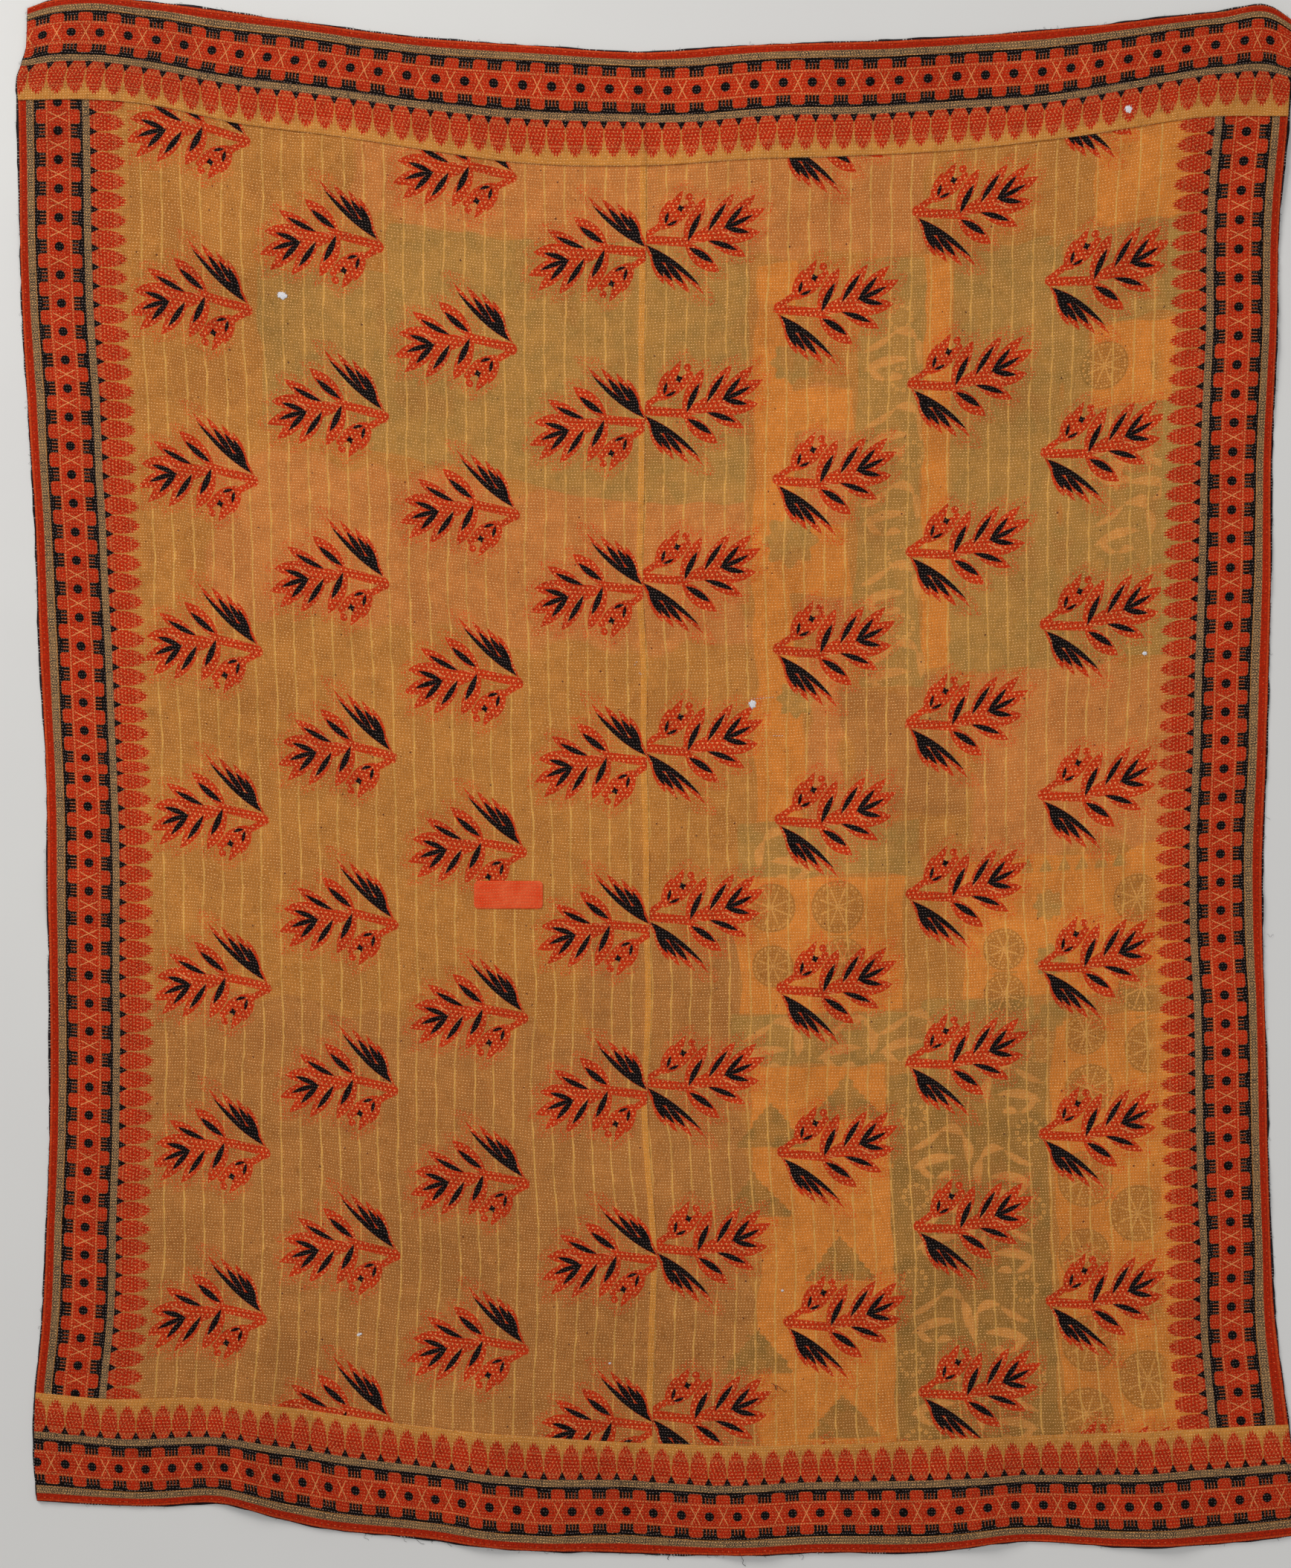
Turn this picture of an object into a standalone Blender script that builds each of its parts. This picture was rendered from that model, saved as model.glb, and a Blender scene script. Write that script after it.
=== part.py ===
"""A kantha quilt laid out face up: two long panels of printed sari cloth joined down the middle, a band of
the same border cloth over each end, a darned patch, and a dark backing cloth whose edge shows all round.

X runs across the quilt, Y up its length and Z up from the surface it lies on. The origin is under the
middle of its outline.
"""

import bmesh
import bpy
import numpy as np

# ---------------------------------------------------------------- sizes, in metres
COLLECTION = "kantha_quilt"

BACKING_THICK = 0.0012
FACE_THICK = 0.0012
BAND_THICK = 0.0010
PATCH_THICK = 0.0008
CLEARANCE = 0.0003  # between one cloth and the next

QUILT_LENGTH = 2.200
HALF_WIDTH = 0.905  # a panel's cut width, edge to seam
BAND_WIDTH = 0.162  # an end band, from the quilt's end to its folded hem
HEM_WIDTH = 0.013  # the hem turned under along each band
HEM_RISE = 0.0005
SEAM_STRIP = 0.009  # the left panel's selvedge, felled over the seam
SEAM_RISE = 0.0006

BACKING_MARGIN = 0.0022  # how far the backing shows past the face, on average
BACKING_UNEVEN = 0.0014

PATCH_MIDDLE = (-0.205, -0.163)
PATCH_SIZE = (0.101, 0.041)
PATCH_CORNER = 0.007

CELLS_PER_PANEL = 14
CELLS_ALONG = 34
CELLS_PER_BAND = 3

# The outline is drawn from the seam's straight line (across = 0) and the middle of the length (along = 0).
# It was held up by two corners, so the ends sag, the sides draw in, and the foot of it waves.
TOP_END = (
    # across, along
    (-0.911, 1.135),
    (-0.883, 1.145),
    (-0.831, 1.153),
    (-0.732, 1.145),
    (-0.536, 1.119),
    (-0.340, 1.093),
    (-0.187, 1.082),
    (-0.002, 1.071),
    (0.140, 1.081),
    (0.379, 1.089),
    (0.641, 1.109),
    (0.837, 1.130),
    (0.915, 1.136),
    (0.944, 1.118),
)
TOP_HEM = (
    # across, along
    (-0.926, 1.001),
    (-0.825, 1.001),
    (-0.734, 0.994),
    (-0.596, 0.966),
    (-0.450, 0.947),
    (-0.296, 0.923),
    (-0.198, 0.910),
    (-0.007, 0.905),
    (0.160, 0.915),
    (0.314, 0.920),
    (0.467, 0.929),
    (0.613, 0.946),
    (0.829, 0.976),
    (0.944, 0.977),
)
FOOT_HEM = (
    # across, along
    (-0.899, -0.892),
    (-0.796, -0.901),
    (-0.658, -0.900),
    (-0.533, -0.913),
    (-0.366, -0.937),
    (-0.187, -0.955),
    (-0.007, -0.966),
    (0.288, -0.967),
    (0.496, -0.957),
    (0.705, -0.950),
    (0.952, -0.938),
)
FOOT_END = (
    # across, along
    (-0.899, -1.050),
    (-0.732, -1.058),
    (-0.613, -1.055),
    (-0.536, -1.077),
    (-0.471, -1.091),
    (-0.340, -1.104),
    (-0.187, -1.123),
    (-0.078, -1.125),
    (0.118, -1.130),
    (0.249, -1.126),
    (0.445, -1.122),
    (0.510, -1.112),
    (0.706, -1.117),
    (0.837, -1.113),
    (0.952, -1.101),
)
LEFT_SIDE = (
    # along, across
    (-1.050, -0.895),
    (-0.996, -0.899),
    (-0.900, -0.898),
    (-0.802, -0.889),
    (-0.639, -0.881),
    (-0.443, -0.876),
    (-0.181, -0.879),
    (0.037, -0.883),
    (0.211, -0.892),
    (0.386, -0.898),
    (0.538, -0.908),
    (0.691, -0.917),
    (0.996, -0.923),
    (1.034, -0.924),
    (1.072, -0.912),
    (1.135, -0.909),
)
SEAM = (
    # along, across
    (-1.126, 0.010),
    (-0.966, 0.009),
    (-0.459, 0.003),
    (-0.050, -0.003),
    (0.228, -0.008),
    (0.320, -0.012),
    (0.495, -0.012),
    (0.691, -0.010),
    (0.905, -0.007),
    (1.071, -0.005),
)
RIGHT_SIDE = (
    # along, across
    (-1.101, 0.953),
    (-0.998, 0.944),
    (-0.900, 0.932),
    (-0.780, 0.917),
    (-0.639, 0.910),
    (-0.377, 0.904),
    (-0.159, 0.898),
    (0.059, 0.905),
    (0.277, 0.911),
    (0.473, 0.912),
    (0.669, 0.920),
    (0.865, 0.926),
    (0.931, 0.932),
    (0.996, 0.938),
    (1.118, 0.944),
)

# Soft folds that the cloth keeps: each runs from one point to another and rounds off at its ends.
FOLDS = (
    # from across, from along, to across, to along, height, half width
    (0.396, 0.102, 0.210, -0.410, 0.0090, 0.060),
    (0.570, -0.257, 0.374, -0.726, 0.0100, 0.068),
    (0.330, 0.720, 0.300, 0.330, 0.0045, 0.060),
    (-0.863, 1.083, -0.591, 0.789, 0.0070, 0.045),
    (-0.890, 0.960, -0.830, 0.560, 0.0050, 0.045),
    (0.892, 1.083, 0.630, 0.735, 0.0070, 0.050),
    (0.910, 0.940, 0.860, 0.520, 0.0050, 0.045),
    (-0.591, -1.064, -0.558, -0.813, 0.0070, 0.042),
    (-0.253, -1.118, -0.237, -0.900, 0.0060, 0.050),
    (0.150, -1.129, 0.140, -0.879, 0.0070, 0.050),
    (0.499, -1.113, 0.477, -0.846, 0.0080, 0.045),
    (0.750, -1.117, 0.717, -0.922, 0.0060, 0.045),
    (-0.860, -0.160, -0.640, -0.230, 0.0050, 0.050),
    (0.880, -0.180, 0.690, -0.120, 0.0045, 0.050),
)
PUCKER = 0.0020  # the quilting's own unevenness, under the folds
PUCKER_ACROSS = 0.43  # length of one wave
PUCKER_ALONG = 0.31
CALM_REACH = 0.16  # the cloth lies quite flat this near the patch
CONTACT = 0.0004  # anything lower than this lies on the surface
ROUNDING = 0.0001  # slack, as a share of the cloth, when asking whether a point is on a line

COLOURS = {
    # name: red, green, blue, roughness
    "dark_cotton": (0.012, 0.010, 0.014, 0.90),
    "printed_sari_cotton": (0.480, 0.210, 0.060, 0.85),
    "border_sari_cotton": (0.560, 0.110, 0.030, 0.85),
    "darned_red_cotton": (0.700, 0.110, 0.040, 0.85),
}


# ---------------------------------------------------------------- where things lie
def smooth_line(rows, at):
    """A curve through the rows (station, value), read at the places given: the cubic between each two rows
    that has the slope, at every row, of the parabola through it and its neighbours."""
    station, value = np.array(rows, dtype=float).T
    slope = np.gradient(value, station)
    at = np.clip(np.asarray(at, dtype=float), station[0], station[-1])
    low = np.clip(np.searchsorted(station, at) - 1, 0, len(station) - 2)
    span = station[low + 1] - station[low]
    k = (at - station[low]) / span
    rise = value[low] * (1 + 2 * k) * (1 - k) ** 2 + value[low + 1] * (3 - 2 * k) * k**2
    return rise + span * (slope[low] * k * (1 - k) ** 2 - slope[low + 1] * (1 - k) * k**2)


def place(share_across, share_along):
    """Where a point of the flat cloth lies. share_across is -1 at the left side, 0 at the seam and 1 at the
    right; share_along is 0 at the foot and 1 at the top. Each coordinate leans on the other, and a few
    rounds settle both."""
    hem = BAND_WIDTH / QUILT_LENGTH
    across = share_across * HALF_WIDTH
    for _ in range(5):
        ends = [smooth_line(rows, across) for rows in (FOOT_END, FOOT_HEM, TOP_HEM, TOP_END)]
        foot_part = ends[0] + (ends[1] - ends[0]) * share_along / hem
        middle_part = ends[1] + (ends[2] - ends[1]) * (share_along - hem) / (1 - 2 * hem)
        top_part = ends[3] - (ends[3] - ends[2]) * (1 - share_along) / hem
        along = np.where(share_along < hem, foot_part, middle_part)
        along = np.where(share_along > 1 - hem, top_part, along)
        seam = smooth_line(SEAM, along)
        to_left = seam - smooth_line(LEFT_SIDE, along)
        to_right = smooth_line(RIGHT_SIDE, along) - seam
        across = seam + share_across * np.where(share_across < 0, to_left, to_right)
    return across, along


def relief(across, along):
    """How far the cloth stands off the surface: soft folds, each a bell of the distance to its line, and a
    slow pucker of crossed waves that fades round the patch. What would be lower than CONTACT lies flat."""
    height = np.zeros_like(across)
    for from_across, from_along, to_across, to_along, crest, half_width in FOLDS:
        run = np.array([to_across - from_across, to_along - from_along])
        share = ((across - from_across) * run[0] + (along - from_along) * run[1]) / (run @ run)
        share = np.clip(share, 0, 1)
        away = np.hypot(across - from_across - share * run[0], along - from_along - share * run[1])
        height = height + crest * np.exp(-((away / half_width) ** 2))
    lean = 0.35 * np.sin(2 * np.pi * along / PUCKER_ALONG)
    wave = np.sin(2 * np.pi * across / PUCKER_ACROSS + lean) * np.cos(2 * np.pi * along / PUCKER_ALONG)
    from_patch = np.hypot(across - PATCH_MIDDLE[0], along - PATCH_MIDDLE[1])
    calm = np.clip(from_patch / CALM_REACH - 0.5, 0, 1)
    height = (height + PUCKER * wave) * calm
    return np.maximum(height - CONTACT, 0)


def ridges(share_across, share_along):
    """The extra thickness of folded cloth: the felled seam down the middle and each band's hem."""
    on_seam = (share_across <= 0) & (share_across >= -SEAM_STRIP / HALF_WIDTH - ROUNDING)
    hem_line = BAND_WIDTH / QUILT_LENGTH
    hem_start = (BAND_WIDTH - HEM_WIDTH) / QUILT_LENGTH
    from_end = np.minimum(share_along, 1 - share_along)
    on_hem = (from_end >= hem_start - ROUNDING) & (from_end <= hem_line + ROUNDING)
    return SEAM_RISE * on_seam, HEM_RISE * on_hem


def outline_middle():
    """The middle of the box round the backing, under which the origin is."""
    points = np.array([edge_point(s, t) for s in LINES_ACROSS for t in LINES_ALONG])
    return (points.min(axis=0) + points.max(axis=0)) / 2


def edge_point(share_across, share_along):
    """A point of the backing. On its rim it reaches a little past the face, by an amount that wanders."""
    across, along = place(np.array(share_across), np.array(share_along))
    out_across = float(np.sign(share_across)) * (abs(share_across) == 1)
    out_along = 1.0 if share_along == 1 else -1.0 if share_along == 0 else 0.0
    wander = np.sin(37 * across + 11 * along) + np.sin(23 * along - 17 * across + 2)
    reach = BACKING_MARGIN + BACKING_UNEVEN * wander / 2
    return float(across + out_across * reach), float(along + out_along * reach)


# ---------------------------------------------------------------- the lines that every cloth shares
def panel_lines():
    """The left panel's lines across, from its side to the seam, with one at the felled strip's edge."""
    strip = SEAM_STRIP / HALF_WIDTH
    return [*np.linspace(-1, -strip, CELLS_PER_PANEL), 0.0]


def band_lines():
    """The foot band's lines along, from the quilt's end to the hem, with one where the hem starts."""
    before_hem = np.linspace(0, BAND_WIDTH - HEM_WIDTH, CELLS_PER_BAND)
    return [*before_hem / QUILT_LENGTH, BAND_WIDTH / QUILT_LENGTH]


LEFT_LINES = panel_lines()
RIGHT_LINES = [*np.linspace(0, 1, CELLS_PER_PANEL)]
LINES_ACROSS = [*LEFT_LINES, *RIGHT_LINES[1:]]
FOOT_LINES = band_lines()
TOP_LINES = [1 - line for line in reversed(FOOT_LINES)]
FIELD_LINES = [*np.linspace(FOOT_LINES[-1], TOP_LINES[0], CELLS_ALONG - 2 * CELLS_PER_BAND + 1)]
LINES_ALONG = [*FOOT_LINES, *FIELD_LINES[1:-1], *TOP_LINES]


# ---------------------------------------------------------------- making cloth
def new_material(name):
    """A plain cloth material of the named colour."""
    red, green, blue, roughness = COLOURS[name]
    material = bpy.data.materials.new(name)
    material.use_nodes = True
    shader = material.node_tree.nodes["Principled BSDF"]
    shader.inputs["Base Color"].default_value = (red, green, blue, 1)
    shader.inputs["Roughness"].default_value = roughness
    shader.inputs["Metallic"].default_value = 0
    return material


def new_object(name, shape, material, collection):
    """Turns the bmesh into a named object in the quilt's collection."""
    bmesh.ops.recalc_face_normals(shape, faces=shape.faces)
    mesh = bpy.data.meshes.new(name)
    shape.to_mesh(mesh)
    shape.free()
    mesh.materials.append(material)
    collection.objects.link(bpy.data.objects.new(name, mesh))


def cloth(name, lines_across, lines_along, point, lower, thick, material, collection):
    """A sheet over the given lines. It starts as a flat grid, is cut into triangles, is moved to where the
    cloth lies, and is raised by its thickness. lower(across, along, s, t) is the height of its underside
    and the thickness added there by folded cloth."""
    shape = bmesh.new()
    cells = len(lines_across) - 1, len(lines_along) - 1
    bmesh.ops.create_grid(shape, x_segments=cells[0], y_segments=cells[1], size=1)
    bmesh.ops.triangulate(shape, faces=shape.faces, quad_method="FIXED")
    thickness = shape.verts.layers.float.new("thickness")
    for corner in shape.verts:
        s = lines_across[round((corner.co.x + 1) / 2 * cells[0])]
        t = lines_along[round((corner.co.y + 1) / 2 * cells[1])]
        across, along = point(s, t)
        height, extra = lower(across, along, s, t)
        corner.co = (across - MIDDLE[0], along - MIDDLE[1], height)
        corner[thickness] = thick + extra
    raised = bmesh.ops.extrude_face_region(shape, geom=shape.faces[:])
    for corner in raised["geom"]:
        if isinstance(corner, bmesh.types.BMVert):
            corner.co.z += corner[thickness]
    shape.verts.layers.float.remove(thickness)
    new_object(name, shape, material, collection)


def common_height(across, along):
    """The backing's underside, which every other cloth follows."""
    return float(relief(np.array(across), np.array(along)))


def under_backing(across, along, s, t):
    return common_height(across, along), 0.0


def under_panel(across, along, s, t):
    seam_rise, _ = ridges(np.array(s), np.array(t))
    return common_height(across, along) + BACKING_THICK + CLEARANCE, float(seam_rise)


def under_band(across, along, s, t):
    seam_rise, hem_rise = ridges(np.array(s), np.array(t))
    panel_top = BACKING_THICK + CLEARANCE + FACE_THICK + float(seam_rise)
    return common_height(across, along) + panel_top + CLEARANCE, float(hem_rise)


def panel_point(side):
    """Points of the panel on one side: at the seam it stops half a clearance short."""

    def point(s, t):
        across, along = place(np.array(s), np.array(t))
        return float(across + side * (s == 0) * CLEARANCE / 2), float(along)

    return point


def face_point(s, t):
    across, along = place(np.array(s), np.array(t))
    return float(across), float(along)


def backing(collection, dark):
    """The dark cloth at the back, a little larger than the face all round."""
    lines = LINES_ACROSS, LINES_ALONG
    cloth("backing", *lines, edge_point, under_backing, BACKING_THICK, dark, collection)


def panels(collection, printed):
    """The two printed panels, from end to end of the quilt, that meet at the seam."""
    for name, lines, side in (("panel_left", LEFT_LINES, -1), ("panel_right", RIGHT_LINES, 1)):
        cloth(name, lines, LINES_ALONG, panel_point(side), under_panel, FACE_THICK, printed, collection)


def bands(collection, border):
    """The border cloth laid over the panels at the foot and at the top."""
    for name, lines in (("band_foot", FOOT_LINES), ("band_top", TOP_LINES)):
        cloth(name, LINES_ACROSS, lines, face_point, under_band, BAND_THICK, border, collection)


def patch(collection, darned):
    """A small plate with rounded corners, sewn on the left panel where the cloth lies flat."""
    shape = bmesh.new()
    bmesh.ops.create_cube(shape, size=1)
    lower = BACKING_THICK + FACE_THICK + 2 * CLEARANCE
    for corner in shape.verts:
        across = PATCH_MIDDLE[0] - MIDDLE[0] + corner.co.x * PATCH_SIZE[0]
        along = PATCH_MIDDLE[1] - MIDDLE[1] + corner.co.y * PATCH_SIZE[1]
        corner.co = (across, along, lower + (corner.co.z + 0.5) * PATCH_THICK)
    upright = [e for e in shape.edges if abs(e.verts[0].co.z - e.verts[1].co.z) > PATCH_THICK / 2]
    bmesh.ops.bevel(shape, geom=upright, offset=PATCH_CORNER, segments=4, profile=0.5, affect="EDGES")
    new_object("patch", shape, darned, collection)


def clear_scene():
    for thing in list(bpy.data.objects):
        bpy.data.objects.remove(thing, do_unlink=True)


clear_scene()
MIDDLE = outline_middle()
quilt = bpy.data.collections.new(COLLECTION)
bpy.context.scene.collection.children.link(quilt)
backing(quilt, new_material("dark_cotton"))
panels(quilt, new_material("printed_sari_cotton"))
bands(quilt, new_material("border_sari_cotton"))
patch(quilt, new_material("darned_red_cotton"))
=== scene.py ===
"""A kantha quilt laid out face up: printed sari cotton quilted all over with small running stitches.

X runs across the quilt, Y up its length and Z up from the surface it lies on, in metres. Lengths that
belong to the print and to the stitching are in millimetres, because that is how they were charted.
"""

from functools import partial, reduce

import bpy
import numpy as np
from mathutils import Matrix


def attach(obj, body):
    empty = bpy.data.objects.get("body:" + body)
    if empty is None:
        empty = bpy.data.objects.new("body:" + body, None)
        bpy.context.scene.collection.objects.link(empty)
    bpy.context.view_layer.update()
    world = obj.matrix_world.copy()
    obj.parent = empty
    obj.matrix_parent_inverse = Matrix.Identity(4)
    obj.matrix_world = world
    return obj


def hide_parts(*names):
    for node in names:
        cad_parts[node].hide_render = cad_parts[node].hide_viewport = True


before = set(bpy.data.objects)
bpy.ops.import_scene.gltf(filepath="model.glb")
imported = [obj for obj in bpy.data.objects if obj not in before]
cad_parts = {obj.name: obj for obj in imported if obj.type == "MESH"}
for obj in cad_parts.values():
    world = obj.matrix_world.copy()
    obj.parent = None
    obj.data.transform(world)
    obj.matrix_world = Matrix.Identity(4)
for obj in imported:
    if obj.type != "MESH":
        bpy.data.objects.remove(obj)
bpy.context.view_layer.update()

# ---------------------------------------------------------------- the solids' own sizes, in metres
BACKING_THICK = 0.0012
FACE_THICK = 0.0012
BAND_THICK = 0.0010
PATCH_THICK = 0.0008
CLEARANCE = 0.0003
PANEL_TOP = BACKING_THICK + CLEARANCE + FACE_THICK  # above the backing's underside

QUILT_LENGTH = 2.200
HALF_WIDTH = 0.905
BAND_WIDTH = 0.162
HEM_WIDTH = 0.013
HEM_RISE = 0.0005
SEAM_STRIP = 0.009
SEAM_RISE = 0.0006
BACKING_MARGIN = 0.0022
BACKING_UNEVEN = 0.0014

PATCH_MIDDLE = (-0.205, -0.163)
PATCH_SIZE = (0.101, 0.041)
PATCH_CORNER = 0.007

MIDDLE = (0.01355, 0.01113)  # of the outline; the origin is under it

TOP_END = (  # across, along
    (-0.911, 1.135), (-0.883, 1.145), (-0.831, 1.153), (-0.732, 1.145), (-0.536, 1.119), (-0.340, 1.093),
    (-0.187, 1.082), (-0.002, 1.071), (0.140, 1.081), (0.379, 1.089), (0.641, 1.109), (0.837, 1.130),
    (0.915, 1.136), (0.944, 1.118),
)
TOP_HEM = (  # across, along
    (-0.926, 1.001), (-0.825, 1.001), (-0.734, 0.994), (-0.596, 0.966), (-0.450, 0.947), (-0.296, 0.923),
    (-0.198, 0.910), (-0.007, 0.905), (0.160, 0.915), (0.314, 0.920), (0.467, 0.929), (0.613, 0.946),
    (0.829, 0.976), (0.944, 0.977),
)
FOOT_HEM = (  # across, along
    (-0.899, -0.892), (-0.796, -0.901), (-0.658, -0.900), (-0.533, -0.913), (-0.366, -0.937),
    (-0.187, -0.955), (-0.007, -0.966), (0.288, -0.967), (0.496, -0.957), (0.705, -0.950), (0.952, -0.938),
)
FOOT_END = (  # across, along
    (-0.899, -1.050), (-0.732, -1.058), (-0.613, -1.055), (-0.536, -1.077), (-0.471, -1.091),
    (-0.340, -1.104), (-0.187, -1.123), (-0.078, -1.125), (0.118, -1.130), (0.249, -1.126), (0.445, -1.122),
    (0.510, -1.112), (0.706, -1.117), (0.837, -1.113), (0.952, -1.101),
)
LEFT_SIDE = (  # along, across
    (-1.050, -0.895), (-0.996, -0.899), (-0.900, -0.898), (-0.802, -0.889), (-0.639, -0.881),
    (-0.443, -0.876), (-0.181, -0.879), (0.037, -0.883), (0.211, -0.892), (0.386, -0.898), (0.538, -0.908),
    (0.691, -0.917), (0.996, -0.923), (1.034, -0.924), (1.072, -0.912), (1.135, -0.909),
)
SEAM = (  # along, across
    (-1.129, 0.0087), (-1.031, 0.0065), (-0.933, 0.0060), (-0.791, 0.0098), (-0.690, 0.0125),
    (-0.639, 0.0098), (-0.552, 0.0027), (-0.448, -0.0016), (-0.377, 0.0027), (-0.301, 0.0044),
    (-0.202, 0.0016), (-0.083, 0.0011), (0.044, -0.0027), (0.168, -0.0022), (0.293, -0.0082),
    (0.408, -0.0065), (0.537, -0.0051), (0.658, -0.0054), (0.788, -0.0035), (1.051, -0.0044),
)
RIGHT_SIDE = (  # along, across
    (-1.101, 0.953), (-0.998, 0.944), (-0.900, 0.932), (-0.780, 0.917), (-0.639, 0.910), (-0.377, 0.904),
    (-0.159, 0.898), (0.059, 0.905), (0.277, 0.911), (0.473, 0.912), (0.669, 0.920), (0.865, 0.926),
    (0.931, 0.932), (0.996, 0.938), (1.118, 0.944),
)
FOLDS = (  # from across, from along, to across, to along, height, half width
    (0.396, 0.102, 0.210, -0.410, 0.0090, 0.060), (0.570, -0.257, 0.374, -0.726, 0.0100, 0.068),
    (0.330, 0.720, 0.300, 0.330, 0.0045, 0.060), (-0.863, 1.083, -0.591, 0.789, 0.0070, 0.045),
    (-0.890, 0.960, -0.830, 0.560, 0.0050, 0.045), (0.892, 1.083, 0.630, 0.735, 0.0070, 0.050),
    (0.910, 0.940, 0.860, 0.520, 0.0050, 0.045), (-0.591, -1.064, -0.558, -0.813, 0.0070, 0.042),
    (-0.253, -1.118, -0.237, -0.900, 0.0060, 0.050), (0.150, -1.129, 0.140, -0.879, 0.0070, 0.050),
    (0.499, -1.113, 0.477, -0.846, 0.0080, 0.045), (0.750, -1.117, 0.717, -0.922, 0.0060, 0.045),
    (-0.860, -0.160, -0.640, -0.230, 0.0050, 0.050), (0.880, -0.180, 0.690, -0.120, 0.0045, 0.050),
)
PUCKER = 0.0020  # the height of the slow pucker's waves, and their lengths
PUCKER_ACROSS = 0.43
PUCKER_ALONG = 0.31
CALM_REACH = 0.16  # half a reach from the patch the cloth is flat, and from one and a half it is free
CONTACT = 0.0004  # what would stand lower than this touches the surface

# ---------------------------------------------------------------- flat cloth and stitching, in millimetres
MM = 0.001
ALL_ACROSS = HALF_WIDTH / MM  # of the flat cloth, from the seam to its side, and
ALL_ALONG = QUILT_LENGTH / MM  # from its foot to its top
BAND_DEEP = BAND_WIDTH / MM
STRIP_WIDE = SEAM_STRIP / MM
STITCH_PITCH = 4.14  # from one stitch to the next in a row
ROW_PITCH = 4.36  # from one row of stitches to the next
MOST_ROWS = 1200  # more rows than any of the cloths has
HEM_PITCH, SEAM_PITCH = 7.2, 5.2  # from one sewing stitch to the next, at the hems and at the seam
CRUMPLE = 0.0009  # the quilted cloth's crumpling, in metres
FACE_CRINKLE = 0.00034  # the finer crinkle between rows, in metres

# Where the side borders' and the bands' dots fall: (dot number, place along in mm).
DOTS_LEFT = ((0, 207), (5, 408), (10, 611), (15, 813), (20, 1017), (21, 1058), (22, 1086), (25, 1207))
DOTS_LEFT += ((30, 1413), (35, 1620), (40, 1825), (44, 1993))
DOTS_RIGHT = ((0, 212), (5, 416), (10, 617), (15, 822), (20, 1024), (25, 1227), (30, 1434), (35, 1641))
DOTS_RIGHT += ((40, 1848), (44, 2016))
DOTS_TOP = ((0, -799), (5, -592), (10, -386), (15, -177), (20, 31), (25, 234), (30, 437), (35, 636))
DOTS_TOP += ((40, 838), (41, 873))
DOTS_FOOT = ((0, -860), (5, -665), (10, -476), (15, -281), (20, -79), (25, 118), (30, 312), (35, 509))
DOTS_FOOT += ((40, 709), (44, 864))
# How far the outer black line runs from the edge: (place along, distance), in mm.
LINE_LEFT = ((170, 24.5), (290, 26), (410, 23.5), (530, 25.5), (770, 25.5), (890, 28.5), (1010, 28))
LINE_LEFT += ((1130, 26.5), (1250, 28), (1370, 25.5), (1490, 24), (1610, 27), (1730, 24.5), (1850, 23.5))
LINE_RIGHT = ((170, 33), (290, 31), (410, 24.5), (650, 25), (770, 24.5), (890, 27.5), (1010, 28.5))
LINE_RIGHT += ((1130, 27), (1250, 28), (1370, 25), (1490, 22.5), (1610, 22.5), (1730, 21.5), (1850, 23.5))
LINE_TOP = ((-880, 22), (-760, 23), (-640, 27.5), (-520, 24), (-280, 23), (-160, 21), (-40, 19), (80, 24))
LINE_TOP += ((200, 21), (320, 23.5), (440, 22.5), (560, 27), (680, 23), (800, 17))
LINE_FOOT = ((-880, 24.5), (-760, 21.5), (-640, 22.5), (-520, 25), (-280, 24.5), (-160, 22.5), (-40, 27.5))
LINE_FOOT += ((80, 22.5), (200, 26), (320, 25.5), (440, 23), (560, 22), (680, 23), (800, 25.5))
LINE_AT = 25.0  # where the chart of the border has that line
DOT_PITCH = 41.5
# The field's sprigs: columns across, rows along, and every second column half a row higher.
SPRIG_ACROSS = 193.5
SPRIG_ALONG = 246.0
SPRIG_ROWS = (-51, 195, 440, 682, 926, 1173, 1424, 1669, 1920, 2166)  # the bases beside the seam
SPRIG_START = -12.0  # where the first column's cell starts, and
SPRIG_FOOT = -110.0  # how far below the sprig's base its cell does
PARTED_ACROSS, PARTED_ALONG = 62.0, 3.0  # where a sprig is parted into its plume, its flower and its leaves

# The seeds of the random waves and draws.
SEEDS = {"crumple": 11, "panel": 21, "band": 31, "panel_rows": 40, "band_rows": 50, "backing_rows": 60}
SEEDS |= {"patch_rows": 39, "backing_edge": 71, "patch": 81, "old_cloths": 91, "tone_and_shade": 95, "shade_smudge": 96}
SEEDS |= {"hems": 150, "seam": 160, "fray": 170, "filling": 180}

# ---------------------------------------------------------------- where things lie


def smooth_line(rows, at):
    """A curve through the rows (station, value), read at the places given: the cubic between each two rows
    that has the slope, at every row, of the parabola through it and its neighbours."""
    station, value = np.array(rows, dtype=float).T
    slope = np.gradient(value, station)
    at = np.clip(np.asarray(at, dtype=float), station[0], station[-1])
    low = np.clip(np.searchsorted(station, at) - 1, 0, len(station) - 2)
    span = station[low + 1] - station[low]
    k = (at - station[low]) / span
    rise = value[low] * (1 + 2 * k) * (1 - k) ** 2 + value[low + 1] * (3 - 2 * k) * k**2
    return rise + span * (slope[low] * k * (1 - k) ** 2 - slope[low + 1] * (1 - k) * k**2)


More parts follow.
